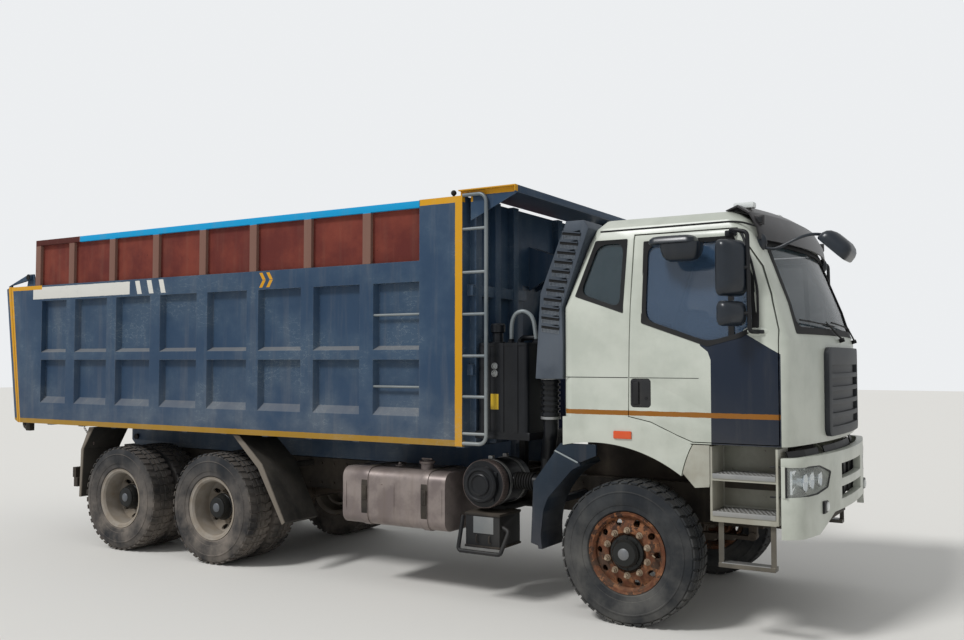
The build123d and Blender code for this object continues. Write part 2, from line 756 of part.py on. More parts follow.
with BuildPart() as tie_rod:
    rod_z = arm_z - 14 - fork_gap - 24
    with Locations((front_x + arm_back, 0, rod_z)):
        Cylinder(tie_rod_radius, 2 * arm_half, rotation=(90, 0, 0))
    for side in both_sides(arm_half):
        with Locations((front_x + arm_back, side, rod_z)):
            Cylinder(30, 48)
        with Locations((front_x + arm_back, side, rod_z + 24 + (fork_gap + 28) / 2)):
            Cylinder(13.6, fork_gap + 28)

save(tie_rod.part, "tie_rod")


# Wheels: rims with their hubs, and tyres that seat on them
disc_thickness = 24.0
disc_flat_radius = 200.0
disc_hole_radius = 25.0
disc_hole_ring = 229.0
disc_hole_count = 10
hub_clear = 2.0
drum_inner_y = 885.0
front_disc_y = 100.0
front_disc_dish = 30.0
twin_disc_dish = 70.0
# Front brake drum, flange and hub: inner y, outer y, radius; then what is bored out of them
front_hub_steps = ((drum_inner_y, 1035, 205), (1035, 1100, 185), (1100, 1170, 95), (1170, 1188, 78))
front_hub_bores = ((drum_inner_y, 1012, 185), (1012, spindle_end + 6, 45 + hub_clear))
# Rear drum, hub and cap: inner y, outer y, radius, measured from the middle of the twin wheels
rear_hub_steps = ((-220, -10, 205), (-10, 150, 125), (150, 215, 105), (215, 235, 80))


def wheel_rim(disc_y, dish):
    """Rim barrel and dished disc profile, to turn about the axle line; disc_y is its flat's place."""
    half = rim_width / 2
    seat = rim_radius - 30
    face = disc_thickness / 2
    with BuildSketch(Plane.XY) as profile:
        with BuildLine():
            Polyline((rim_radius, -half), (rim_radius + 14, -half - 8), (rim_radius + 14, -half),
                     (rim_radius, 10 - half), (rim_radius, half - 10), (rim_radius + 14, half),
                     (rim_radius + 14, half + 8), (rim_radius, half), (rim_radius - rim_wall, half),
                     (seat, half - 20), (seat, disc_y - dish + face), (disc_flat_radius, disc_y + face),
                     (150, disc_y + face),
                     (150, disc_y - face), (disc_flat_radius, disc_y - face), (seat, disc_y - dish - face),
                     (seat, 20 - half), (rim_radius - rim_wall, -half), close=True)
        make_face()
    return profile.sketch


def hand_holes(x, y, depth):
    """Ring of hand holes to cut through a wheel's disc about the axle line at x, centred on y."""
    with BuildPart(Plane((x, y, wheel_radius), x_dir=(1, 0, 0), z_dir=(0, 1, 0))) as holes:
        with PolarLocations(disc_hole_ring, disc_hole_count):
            Cylinder(disc_hole_radius, depth)
    return holes.part


def tyre_profile():
    """Section of a tyre: bead, bulged wall, shoulder and crowned tread."""
    half = tyre_width / 2
    with BuildSketch(Plane.XY) as profile:
        with BuildLine():
            Polyline((rim_radius + 14, -rim_width / 2), (rim_radius + 75, -half), (wheel_radius - 105, -half),
                     (wheel_radius - 60, 10 - half), (wheel_radius - 8, 30 - half), (wheel_radius, 0),
                     (wheel_radius - 8, half - 30), (wheel_radius - 60, half - 10),
                     (wheel_radius - 105, half), (rim_radius + 75, half),
                     (rim_radius + 14, rim_width / 2), close=True)
        make_face()
    return profile.sketch


for name, side in (("left", 1), ("right", -1)):
    centre = Location((front_x, side * front_track / 2, wheel_radius))
    front_rim = revolve(wheel_rim(side * front_disc_y, side * front_disc_dish), Axis.Y)
    front_tyre = revolve(tyre_profile(), Axis.Y)
    front_holes = hand_holes(front_x, side * (front_track / 2 + front_disc_y), 120)
    with BuildPart() as rim:
        with Locations(centre):
            add(front_rim)
        for inner_y, outer_y, radius in front_hub_steps:
            with Locations((front_x, side * (inner_y + outer_y) / 2, wheel_radius)):
                Cylinder(radius, outer_y - inner_y, rotation=(90, 0, 0))
        for inner_y, outer_y, radius in front_hub_bores:
            with Locations((front_x, side * (inner_y + outer_y) / 2, wheel_radius)):
                Cylinder(radius, outer_y - inner_y, rotation=(90, 0, 0), mode=Mode.SUBTRACT)
        add(front_holes, mode=Mode.SUBTRACT)
    save(rim.part, f"rim_front_{name}")
    with BuildPart() as tyre:
        with Locations(centre):
            add(front_tyre)
    save(tyre.part, f"tyre_front_{name}")

twin_disc_y = twin_spacing / 2 - disc_thickness / 2

for axle, x in (("mid", mid_x), ("last", last_x)):
    for name, side in (("left", 1), ("right", -1)):
        middle = side * rear_track / 2
        outer_y = middle + side * twin_spacing / 2
        inner_y = middle - side * twin_spacing / 2
        outer_rim = revolve(wheel_rim(-side * twin_disc_y, -side * twin_disc_dish), Axis.Y)
        inner_rim = revolve(wheel_rim(side * twin_disc_y, side * twin_disc_dish), Axis.Y)
        twin_tyre = revolve(tyre_profile(), Axis.Y)
        twin_holes = hand_holes(x, middle, twin_spacing / 2)
        with BuildPart() as rim:
            with Locations((x, outer_y, wheel_radius)):
                add(outer_rim)
            with Locations((x, inner_y, wheel_radius)):
                add(inner_rim)
            for low, high, radius in rear_hub_steps:
                with Locations((x, middle + side * (low + high) / 2, wheel_radius)):
                    Cylinder(radius, high - low, rotation=(90, 0, 0))
            add(twin_holes, mode=Mode.SUBTRACT)
            bore_end = spindle_half + hub_clear
            bore = bore_end - rear_track / 2 + 222
            with Locations((x, side * (bore_end - bore / 2), wheel_radius)):
                Cylinder(spindle_radius + hub_clear, bore, rotation=(90, 0, 0), mode=Mode.SUBTRACT)
            drum_depth = 150.0
            with Locations((x, middle - side * (222 - drum_depth / 2), wheel_radius)):
                Cylinder(180, drum_depth, rotation=(90, 0, 0), mode=Mode.SUBTRACT)
        save(rim.part, f"rim_{axle}_{name}")
        with BuildPart() as tyre:
            for y in (outer_y, inner_y):
                with Locations((x, y, wheel_radius)):
                    add(twin_tyre)
        save(tyre.part, f"tyre_{axle}_{name}")

# Cab body sections: level, nose, rear, half width, crown of the nose, and the share of a wall's
# inset that moves the level
cab_levels = (
    (cab_floor, belt_nose, -480, 1236, nose_crown, 1),
    (belt_z, belt_nose, -480, 1236, nose_crown, 0),
    (2385, 1272, -488, 1222, nose_crown, 0),
    (2885, 1090, -300, 1158, roof_crown, 0),
    (2990, 1030, -258, 1118, roof_crown, -0.5),
    (3062, 915, -222, 1010, roof_crown, -1),
)


def cab_body(inset):
    """The cab's outer form moved in by an inset, as sections for a ruled loft."""
    sections = []
    for level, nose, rear, half, crown, lift in cab_levels:
        side = half - inset
        tip = nose - inset
        drop = crown - sqrt(crown ** 2 - side ** 2)
        with BuildSketch(Plane.XY.offset(level + lift * inset)) as section:
            with BuildLine():
                ThreePointArc((at(tip - drop), -side), (at(tip), 0), (at(tip - drop), side))
                Polyline((at(tip - drop), side), (at(rear + inset), side), (at(rear + inset), -side),
                         (at(tip - drop), -side))
            make_face()
            corners = section.vertices().sort_by(Axis.X)
            fillet(corners[-2:], cab_front_corner - inset)
            fillet(section.vertices().sort_by(Axis.X)[:2], cab_rear_corner - inset)
        sections.append(section.sketch)
    return sections


# Door and window outlines in the side view: station and height
door_outline = (
    (60, 1560), (236, 1524), (433, 1437), (549, 1392), (1162, 1392), (1162, 2186), (1105, 2441), (1036, 2646),
    (860, 2925), (82, 2925),
)
# Plane that the side outlines are drawn on, inside the walls, and their reach outwards
cab_plane = 900.0
cab_reach = 420.0
door_window = ((167, 2861), (168, 2255), (664, 2080), (900, 2140), (1020, 2200), (985, 2560), (835, 2861))
quarter_window = ((-225, 2890), (30, 2890), (16, 2335), (-375, 2470))
windscreen = ((-1010, 2165), (1010, 2165), (950, 2850), (-950, 2850))


def floor_slab(half):
    """The cab's floor out to a half width, which a doorway leaves whole."""
    with BuildPart() as slab:
        block((-700, 1500), (-half, half), (cab_floor - 100, cab_floor + cab_wall))
    return slab.part


def side_outline(points, plane_y=cab_plane):
    """Closed side-view outline drawn on a plane parallel to the right side."""
    with BuildSketch(Plane.XZ.offset(plane_y)) as outline:
        with BuildLine():
            Polyline(*[(at(x), z) for x, z in points], close=True)
        make_face()
    return outline.sketch


def front_outline(points):
    """Closed front-view outline drawn on a plane across the cab ahead of the seats."""
    with BuildSketch(Plane.YZ.offset(at(800))) as outline:
        with BuildLine():
            Polyline(*points, close=True)
        make_face()
    return outline.sketch


cab_skin = loft(sections=cab_body(0), ruled=True)
cab_room = loft(sections=cab_body(cab_wall), ruled=True)
cab_sheet = cab_skin - cab_room
glass_sheet = (loft(sections=cab_body(glass_inset), ruled=True)
               - loft(sections=cab_body(glass_inset + glass_thickness), ruled=True))
windscreen_prism = extrude(front_outline(windscreen), amount=700)
quarter_prism = extrude(side_outline(quarter_window), amount=cab_reach)
door_prism = (extrude(side_outline(door_outline), amount=cab_reach)
              - floor_slab(belt_half - cab_wall - door_gap))
window_prism = extrude(side_outline(door_window), amount=cab_reach)
door_set_back = door_gap + (belt_half - cab_plane) * tan(radians(door_bevel))
door_running_outline = offset(side_outline(door_outline), amount=-door_set_back, kind=Kind.INTERSECTION)
door_running_prism = (extrude(door_running_outline, amount=cab_reach, taper=-door_bevel)
                      - floor_slab(belt_half - cab_wall))

with BuildPart() as cab_shell:
    add(cab_sheet)
    add(windscreen_prism, mode=Mode.SUBTRACT)
    for prism in (door_prism, quarter_prism):
        add(prism, mode=Mode.SUBTRACT)
        mirror(prism, Plane.XZ, mode=Mode.SUBTRACT)
    # Flares over the front wheels, ended by an arc about the cab's pivot where their foot stands on the steps
    for side in both_sides(1):
        with BuildSketch(Plane.XZ.offset(side * (belt_half - flare_depth))) as flare_side:
            with BuildLine():
                Line((at(-478), 1548), (at(-478), 1330))
                ThreePointArc((at(-478), 1330), (at(30), 1336), (at(565), 1073))
                Polyline((at(565), 1073), (at(668), 1084), (at(640), 1300), (at(530), cab_floor))
                ThreePointArc((at(530), cab_floor), (at(236), 1512), (at(52), 1548))
                Line((at(52), 1548), (at(-478), 1548))
            make_face()
            with Locations((at(cab_pivot_x), cab_pivot_z)):
                Circle(arch_cut_radius, mode=Mode.SUBTRACT)
        extrude(amount=side * flare_depth)
    # Pivot arms under the floor
    for side in both_sides(cab_arm_half + 26):
        with BuildSketch(Plane.XZ.offset(side - cab_arm_width / 2)) as arm_side:
            with BuildLine():
                Polyline((at(cab_pivot_x) + 10, cab_pivot_z + 48), (at(cab_pivot_x) - 36, cab_pivot_z - 30),
                         (at(760), cab_floor + 10), (at(900), cab_floor + 10), close=True)
            make_face()
            with Locations((at(cab_pivot_x), cab_pivot_z)):
                Circle(50)
            with Locations((at(cab_pivot_x), cab_pivot_z)):
                Circle(cab_pin_radius + kingpin_clearance, mode=Mode.SUBTRACT)
        extrude(amount=cab_arm_width)

save(cab_shell.part, "cab_shell")

with BuildPart() as cab_glass:
    add(windscreen_prism)
    add(quarter_prism)
    mirror(quarter_prism, Plane.XZ)
    add(glass_sheet, mode=Mode.INTERSECT)

save(cab_glass.part, "cab_glass")

# Doors: the side wall inside the door outline, less the running gap, with the window cut
with BuildPart() as door_right:
    add(door_running_prism)
    add(window_prism, mode=Mode.SUBTRACT)
    add(cab_sheet, mode=Mode.INTERSECT)
    # Recess behind the pull handle
    with BuildSketch(Plane.XZ.offset(belt_half - handle_recess)) as recess:
        with Locations((at(160), 1738)):
            RectangleRounded(158, 212, 26)
    extrude(amount=60, mode=Mode.SUBTRACT)
    with Locations((at(172), -belt_half + handle_recess / 2 + 4, 1738)):
        Box(34, handle_recess, 196)

with BuildPart() as door_glass_right:
    add(window_prism)
    add(glass_sheet, mode=Mode.INTERSECT)

save(door_right.part, "door_right")
save(mirror(door_right.part, Plane.XZ), "door_left")
save(door_glass_right.part, "door_glass_right")
save(mirror(door_glass_right.part, Plane.XZ), "door_glass_left")

# Cab interior: seats, dashboard, engine cover and steering wheel
seat_half = 640.0
# Seat cushion, back and headrest in side view: station, height, length, thickness, width, lean
seat_pads = ((250, 1640, 480, 130, 500, 6), (20, 1990, 110, 600, 480, -6), (-22, 2345, 90, 190, 280, -6))

with BuildPart() as cab_interior:
    for side in both_sides(seat_half):
        block((70, 430), (side - 180, side + 180), (cab_floor + cab_wall, 1600))
        for station, level, length, height, width, lean in seat_pads:
            with BuildSketch(Plane.XZ.offset(-side)) as pad:
                with Locations((at(station), level)):
                    RectangleRounded(length, height, 42, rotation=lean)
            extrude(amount=width / 2, both=True)
    block((900, 1080), (-1060, 1060), (1690, 2020))
    block((1080, 1220), (-700, 700), (1690, 2020))
    block((1000, 1150), (-700, 700), (cab_floor + cab_wall, 1690))
    block((-200, 900), (-190, 190), (cab_floor + cab_wall, 1560))
    wheel_tilt = Plane(origin=(at(640), 640, 2110), x_dir=(0, 1, 0), z_dir=(-0.5, 0, 0.87))
    with BuildSketch(wheel_tilt) as wheel_plane:
        Circle(230)
        Circle(200, mode=Mode.SUBTRACT)
        Rectangle(420, 40)
        Circle(60)
    extrude(amount=26)
    with BuildSketch(Plane(origin=(at(640), 640, 2110), x_dir=(0, 1, 0), z_dir=(-0.5, 0, 0.87))) as column:
        Circle(34)
    extrude(amount=-420)

save(cab_interior.part, "cab_interior")

# Grille: a raised panel on the cab's front with long openings between its slats
grille_half = 560.0
grille_low = 1420.0
grille_high = 2075.0
grille_depth = 38.0
slat_opening = 62.0
slat_pitch = 98.0
slat_count = 5
slat_margin = 70.0
slat_depth = 28.0

grille_skin = crowned_plan(belt_nose + grille_depth, nose_crown, 1200, 60)
grille_core = crowned_plan(belt_nose, nose_crown, 1230, 60)
slat_core = crowned_plan(belt_nose + grille_depth - slat_depth, nose_crown, 1200, 60)

with BuildPart() as front_grille:
    with BuildSketch(Plane.XY.offset(grille_low)) as grille_plan:
        add(grille_skin)
        add(grille_core, mode=Mode.SUBTRACT)
    extrude(amount=grille_high - grille_low)
    with BuildSketch(Plane.YZ.offset(at(1100))) as grille_front:
        with Locations((0, (grille_low + grille_high) / 2)):
            RectangleRounded(2 * grille_half, grille_high - grille_low, 60)
    extrude(amount=500, mode=Mode.INTERSECT)
    for index in range(slat_count):
        level = grille_low + slat_margin + index * slat_pitch
        with BuildSketch(Plane.XY.offset(level)) as slot_plan:
            Rectangle(9000, 2 * (grille_half - slat_margin))
            add(slat_core, mode=Mode.SUBTRACT)
        extrude(amount=slat_opening, mode=Mode.SUBTRACT)

save(front_grille.part, "front_grille")

# Sun visor: a profile turned about a far vertical line, so that its lip is crowned like the screen
visor_crown = 3900.0
visor_tip = 1150.0
visor_half = 1110.0

visor_turn = degrees(atan2(visor_half, visor_crown))
visor_axis = Axis((at(visor_tip) - visor_crown, 0, 0), (0, 0, 1))
visor_points = ((870, 3075), (970, 3105), (1070, 3045), (visor_tip - 14, 2930), (visor_tip, 2840),
                (visor_tip - 14, 2838), (visor_tip - 29, 2925), (1060, 3030), (965, 3088), (875, 3066))

with BuildPart() as sun_visor:
    with BuildSketch(Plane.XZ) as visor_profile:
        with BuildLine():
            Polyline(*[(at(x), z) for x, z in visor_points], close=True)
        make_face()
    for turn in both_sides(visor_turn):
        revolve(visor_profile.sketch, axis=visor_axis, revolution_arc=turn)

save(sun_visor.part, "sun_visor")

# Snorkel behind the cab's right corner
snorkel_outer = 1225.0
snorkel_inner = 880.0
louvre_count = 11
louvre_low = 2230.0
louvre_pitch = 72.0
louvre_height = 30.0
louvre_length = 150.0
louvre_depth = 22.0
louvre_foot = -588.0
louvre_bend = 2385.0
louvre_lean = 0.33

with BuildPart() as snorkel:
    with BuildSketch(Plane.XZ.offset(snorkel_inner)) as snorkel_side:
        with BuildLine():
            Polyline((at(-480), 1834), (at(-720), 1834), (at(-675), 2500), (at(-450), 3055), (at(-300), 3055),
                     (at(-258), 2990), (at(-300), 2885), (at(-488), 2385), (at(-480), belt_z), close=True)
        make_face()
    extrude(amount=snorkel_outer - snorkel_inner)
    # Louvres pressed into the outer side, following its lean
    for index in range(louvre_count):
        level = louvre_low + index * louvre_pitch
        middle = louvre_foot + max(0.0, level - louvre_bend) * louvre_lean
        with Locations((at(middle), -snorkel_outer, level)):
            Box(louvre_length, 2 * louvre_depth, louvre_height, rotation=(0, -10, 0), mode=Mode.SUBTRACT)

save(snorkel.part, "snorkel")

# Mirrors: main pair on each door, and the kerb and front mirrors on the right
mirror_outer = 1485.0
mirror_inner = 1290.0
mirror_back = 865.0
mirror_front = 965.0
mirror_corner = 34.0
mirror_bar_y = 1415.0
mirror_bar = 15.0
# Mirror heads on each door: bottom, top
mirror_heads = ((2210, 2392), (2413, 2830))


mirror_arm = bar(((at(800), -1100, 2880), (at(800), -mirror_bar_y, 2880), (at(975), -mirror_bar_y, 2880),
                  (at(975), -mirror_bar_y, 2175), (at(1060), -mirror_bar_y, 2175), (at(1060), -1150, 2175)),
                 mirror_bar, 32)

with BuildPart() as main_mirrors:
    for low, high in mirror_heads:
        mirror_x = at((mirror_back + mirror_front) / 2)
        with Locations((mirror_x, -(mirror_inner + mirror_outer) / 2, (low + high) / 2)):
            Box(mirror_front - mirror_back, mirror_outer - mirror_inner, high - low)
    fillet(main_mirrors.edges(), mirror_corner)
    add(mirror_arm)
    add(cab_skin, mode=Mode.SUBTRACT)

# The right side also has a kerb mirror over the window, looking down the side
kerb_mirror_z = 2845.0

with BuildPart() as mirrors_right:
    add(main_mirrors.part)
    with BuildSketch(Plane.XY.offset(kerb_mirror_z - 22)) as kerb_head:
        with Locations((at(425), -1330)):
            RectangleRounded(350, 170, 60)
    extrude(amount=44)
    block((395, 455), (-1330, -1100), (kerb_mirror_z - 12, kerb_mirror_z + 12))
    add(cab_skin, mode=Mode.SUBTRACT)

save(mirrors_right.part, "mirrors_right")
save(mirror(main_mirrors.part, Plane.XZ), "mirrors_left")

front_mirror_arm = bar(((at(960), -1010, 2740), (at(1230), -990, 2790), (at(1430), -900, 2850),
                        (at(front_reach - 70), -800, 2850)), 13, 60)

with BuildPart() as cab_mirrors:
    with Locations((at(front_reach - 55), -800, 2750)):
        Box(110, 300, 190)
    fillet(cab_mirrors.edges(), 40)
    add(front_mirror_arm)
    add(cab_skin, mode=Mode.SUBTRACT)

save(cab_mirrors.part, "cab_mirrors")

# Bed tub: floor, sills, ribbed sides, front wall with the hoist well, and rear posts
bed_half = bed_width / 2
inner_half = bed_half - rib_depth - skin
rib_stations = [first_rib - k * rib_pitch for k in range(rib_count)]
well_half = 215.0
well_depth = 330.0
front_wall = 10.0



def rib_section(station):
    """Plan of one rib on the right side: a flat face between two sloped flanks."""
    with BuildSketch(Plane.XY.offset(bed_bottom)) as rib_profile:
        with BuildLine():
            Polyline((at(station - rib_face / 2), -bed_half), (at(station + rib_face / 2), -bed_half),
                     (at(station + rib_face / 2 + rib_flank), rib_depth - bed_half),
                     (at(station - rib_face / 2 - rib_flank), rib_depth - bed_half), close=True)
        make_face()
    return rib_profile.sketch


with BuildPart() as bed_tub:
    # Floor plate and front wall
    with Locations((at((bed_front + bed_rear) / 2), 0, floor_top - floor_plate / 2)):
        Box(bed_front - bed_rear, 2 * inner_half + 2 * skin, floor_plate)
    with Locations((at(bed_front) - front_wall / 2, 0, (bed_bottom + post_top) / 2)):
        Box(front_wall, 2 * inner_half + 2 * skin, post_top - bed_bottom)
    # Side skins, sills, waist rails, bands and ribs
    for side in both_sides(1):
        with BuildSketch(Plane.XZ.offset(-side * inner_half)) as side_skin:
            with BuildLine():
                Polyline((at(bed_front), bed_bottom), (at(bed_rear), bed_bottom),
                         (at(rear_slant_top), band_top), (at(front_post_rear), band_top),
                         (at(front_post_rear), post_top),
                         (at(bed_front), post_top), close=True)
            make_face()
        extrude(amount=-side * skin)
        long_section = (
            ((bed_half, bed_bottom), (bed_half, sill_top), (bed_half - rib_depth, sill_ledge_top),
             (bed_half - rib_depth, bed_bottom)),
            ((bed_half, waist_bottom), (bed_half, waist_top - 36), (bed_half - rib_depth, waist_top),
             (bed_half - rib_depth, waist_bottom)),
            ((bed_half, band_bottom), (bed_half, band_top), (bed_half - rib_depth, band_top),
             (bed_half - rib_depth, band_bottom)),
        )
        for points in long_section:
            with BuildSketch(Plane.YZ.offset(at(rear_post_front))) as rail_profile:
                with BuildLine():
                    Polyline(*[(side * y, z) for y, z in points], close=True)
                make_face()
            extrude(amount=front_post_rear - rear_post_front)
        for station in rib_stations:
            rib = extrude(rib_section(station), amount=band_top - bed_bottom, mode=Mode.PRIVATE)
            add(rib if side < 0 else mirror(rib, Plane.XZ, mode=Mode.PRIVATE))
        # Front and rear posts
        with Locations((at((bed_front + front_post_rear) / 2), side * (bed_half - rib_depth / 2),
                        (bed_bottom + post_top) / 2)):
            Box(bed_front - front_post_rear, rib_depth, post_top - bed_bottom)
        with BuildSketch(Plane.XZ.offset(-side * (bed_half - rib_depth))) as rear_post:
            with BuildLine():
                Polyline((at(rear_post_front), bed_bottom), (at(bed_rear), bed_bottom),
                         (at(rear_slant_top), band_top), (at(rear_post_front), band_top), close=True)
            make_face()
        extrude(amount=-side * rib_depth)
        # Sloped plates along the foot of the inside walls
        with BuildSketch(Plane.YZ.offset(at(bed_rear + 60))) as foot_plate:
            with BuildLine():
                Polyline((side * inner_half, floor_top + 260), (side * (inner_half - 240), floor_top),
                         (side * inner_half, floor_top), close=True)
            make_face()
        extrude(amount=bed_front - bed_rear - 60 - front_wall)
    # Long sills under the floor, crossbearers between them and the outer sills
    for side in both_sides(bed_sill_half):
        with BuildSketch(Plane.XZ.offset(-side + bed_sill_width / 2)) as sill:
            with BuildLine():
                Polyline((at(bed_front), rail_top + bed_sill_gap), (at(bed_front), floor_top - floor_plate),
                         (at(bed_pivot_x - 85), floor_top - floor_plate),
                         (at(bed_pivot_x - 85), bed_pivot_z - 35), (at(bed_pivot_x - 30), bed_pivot_z - 86),
                         (at(bed_pivot_x + 60), rail_top + bed_sill_gap), close=True)
            make_face()
            with Locations((at(bed_pivot_x), bed_pivot_z)):
                Circle(bed_pin_radius + kingpin_clearance, mode=Mode.SUBTRACT)
        extrude(amount=-bed_sill_width)
    bearer_count = int((bed_front - bed_rear) / bearer_pitch)
    for index in range(bearer_count + 1):
        station = bed_front - 60 - index * bearer_pitch
        for side in both_sides(1):
            inner_end = bed_sill_half + bed_sill_width / 2
            with Locations((at(station), side * (inner_end + inner_half) / 2, floor_top - floor_plate - 30)):
                Box(70, inner_half - inner_end + 2 * skin, 60)
        with Locations((at(station), 0, floor_top - floor_plate - 45)):
            Box(70, 2 * (bed_sill_half - bed_sill_width / 2) + 4, 90)
    # Hoist well: the front wall steps back round the hoist, deeper towards the floor
    with BuildSketch(Plane.XZ.offset(well_half + 10)) as well_outer:
        with BuildLine():
            Polyline((at(bed_front) - 5, bed_bottom), (at(bed_front) - 5, 2700),
                     (at(bed_front - well_depth) - 10, bed_bottom), close=True)
        make_face()
    extrude(amount=-2 * (well_half + 10))
    with BuildSketch(Plane.XZ.offset(well_half)) as well_inner:
        with BuildLine():
            Polyline((at(bed_front) + 1, rail_top), (at(bed_front) + 1, 2660),
                     (at(bed_front) - 6, 2660), (at(bed_front - well_depth), bed_bottom),
                     (at(bed_front - well_depth), rail_top), close=True)
        make_face()
    extrude(amount=-2 * well_half, mode=Mode.SUBTRACT)
    # Ribs on the outside of the front wall, and the hoist ears
    for y in (-1080, -760, -440, 440, 760, 1080):
        with Locations((at(bed_front) + 30, y, (bed_bottom + post_top) / 2)):
            Box(60, 90, post_top - bed_bottom)
    for level in (1900, 2560):
        for side in both_sides(1):
            with Locations((at(bed_front) + 25, side * (well_half + 20 + 1165) / 2, level)):
                Box(50, 1165 - well_half - 20, 90)
    for side in both_sides(hoist_ear_gap + 14):
        with BuildSketch(Plane.XZ.offset(-side + 14)) as ear:
            with BuildLine():
                Polyline((at(bed_front) - 5, hoist_eye_z - 230), (at(bed_front) - 5, hoist_eye_z + 180),
                         (at(hoist_x), hoist_eye_z + 70), (at(hoist_x), hoist_eye_z - 70), close=True)
            make_face()
            with Locations((at(hoist_x), hoist_eye_z)):
                Circle(70)
                Circle(30, mode=Mode.SUBTRACT)
        extrude(amount=-28)
    # Tailgate hinge ears on the rear posts
    for side in both_sides(1):
        with BuildSketch(Plane.XZ.offset(-side * (bed_half - rib_depth))) as hinge_ear:
            with BuildLine():
                Polyline((at(tail_hinge_x) - 75, band_top), (at(tail_hinge_x) + 75, band_top),
                         (at(tail_hinge_x) + 40, tail_hinge_z + 36),
                         (at(tail_hinge_x) - 40, tail_hinge_z + 36), close=True)
            make_face()
            with Locations((at(tail_hinge_x), tail_hinge_z)):
                Circle(tail_pin_radius + kingpin_clearance, mode=Mode.SUBTRACT)
        extrude(amount=-side * 20)

save(bed_tub.part, "bed_tub")

# Side boards above the bands
with BuildPart() as side_boards:
    for side in both_sides(1):
        board_x = at((front_post_rear + board_rear) / 2)
        with Locations((board_x, side * (bed_half - 45), (band_top + board_top) / 2)):
            Box(front_post_rear - board_rear, 6, board_top - band_top)
        with Locations((at((front_post_rear + board_rear) / 2), side * (bed_half - 30), board_top - 30)):
            Box(front_post_rear - board_rear, 60, 60)
        for station in rib_stations + [board_rear + 45]:
            with Locations((at(station), side * (bed_half - 21), (band_top + board_top) / 2 - 30)):
                Box(90, 42, board_top - band_top - 60)

save(side_boards.part, "side_boards")

# Canopy over the cab's back, with side gussets
gusset_half = 1210.0
with BuildPart() as canopy:
    with Locations((at((bed_front - 40 + canopy_front) / 2), 0, canopy_top - 5)):
        Box(canopy_front - bed_front + 40, bed_width, 10)
    with Locations((at(canopy_front) - 4, 0, canopy_top - 30)):
        Box(8, bed_width, 60)
    for side in both_sides(gusset_half):
        with BuildSketch(Plane.XZ.offset(-side)) as gusset:
            with BuildLine():
                Polyline((at(bed_front - 40), canopy_top), (at(canopy_front), canopy_top),
                         (at(canopy_front), canopy_top - 60), (at(bed_front + 60), 3130),
                         (at(bed_front + 60), post_top),
                         (at(bed_front - 40), post_top), close=True)
            make_face()
        extrude(amount=side / gusset_half * 8)

save(canopy.part, "canopy")

# Ladder ahead of the right front post
ladder_outer = -1165.0
rung_levels = (1380, 1681, 2014, 2356, 2700, 3058)
bay_rung_levels = (1752, 2370)

ladder_low = 1300.0
ladder_high = 3340.0
ladder_y = -bed_half + 16
ladder_rail = 16.0
bed_rib = extrude(rib_section(first_rib), amount=band_top - bed_bottom)
ladder_path = ((at(bed_front), ladder_y, ladder_low), (at(ladder_outer), ladder_y, ladder_low),
               (at(ladder_outer), ladder_y, ladder_high), (at(bed_front), ladder_y, ladder_high))
ladder_frame = bar(ladder_path, ladder_rail, 70)

with BuildPart() as ladder:
    add(ladder_frame)
    for level in rung_levels:
        with Locations((at((ladder_outer + bed_front) / 2), ladder_y, level)):
            Cylinder(13, ladder_outer - bed_front, rotation=(0, 90, 0))
    # Rungs across the foremost bay, seated in its rib and post
    for level in bay_rung_levels:
        with Locations((at((first_rib + rib_face / 2 + front_post_rear) / 2), ladder_y, level)):
            Cylinder(11, front_post_rear - first_rib - rib_face / 2, rotation=(0, 90, 0))
    add(bed_rib, mode=Mode.SUBTRACT)

save(ladder.part, "ladder")

# Tailgate: a leaning plate with ribs, hung from arms over the rear posts
with BuildPart() as tailgate:
    with BuildSketch(Plane.XZ.offset(-bed_half)) as gate_section:
        with BuildLine():
            Polyline((at(bed_rear - tail_gap), bed_bottom),
                     (at(bed_rear - tail_gap - tail_plate), bed_bottom),
                     (at(rear_slant_top - tail_gap - tail_plate), band_top),
                     (at(rear_slant_top - tail_gap), band_top), close=True)
        make_face()
    extrude(amount=bed_width)
    for y in (-1205, -720, -240, 240, 720, 1205):
        with BuildSketch(Plane.XZ.offset(-y - 45)) as gate_rib:
            with BuildLine():
                Polyline((at(bed_rear - tail_gap - tail_plate), bed_bottom),
                         (at(bed_rear - tail_gap - tail_plate - tail_rib), bed_bottom + 30),
                         (at(rear_slant_top - tail_gap - tail_plate - tail_rib), band_top - 20),
                         (at(rear_slant_top - tail_gap - tail_plate), band_top), close=True)
            make_face()
        extrude(amount=90)
    for side in both_sides(tail_arm_half):
        with BuildSketch(Plane.XZ.offset(-side + tail_arm_width / 2)) as arm_side:
            with BuildLine():
                Polyline((at(tail_hinge_x), tail_hinge_z + 34), (at(tail_hinge_x), tail_hinge_z - 34),
                         (at(rear_slant_top - tail_gap - 4), band_top + 20),
                         (at(rear_slant_top - tail_gap - tail_plate), band_top - 60),
                         (at(rear_slant_top - tail_gap - tail_plate - 40), band_top + 12), close=True)
            make_face()
            with Locations((at(tail_hinge_x), tail_hinge_z)):
                Circle(34)
        extrude(amount=-tail_arm_width)

save(tailgate.part, "tailgate")

# Hoist: outer tube on its trunnion and three stages that slide out of it
tube_length = hoist_eye_z - hoist_base_z - 130.0

with BuildPart() as hoist_tube:
    with Locations((at(hoist_x), 0, hoist_base_z + tube_length / 2)):
        Cylinder(hoist_radius, tube_length)
        Cylinder(hoist_radius - hoist_stage_wall, tube_length, mode=Mode.SUBTRACT)
    with Locations((at(hoist_x), 0, hoist_base_z)):
        Cylinder(hoist_pin_radius, 2 * (hoist_cradle_half + hoist_cradle_plate) + 20, rotation=(90, 0, 0))
        Cylinder(60, 2 * hoist_cradle_half - 12, rotation=(90, 0, 0))

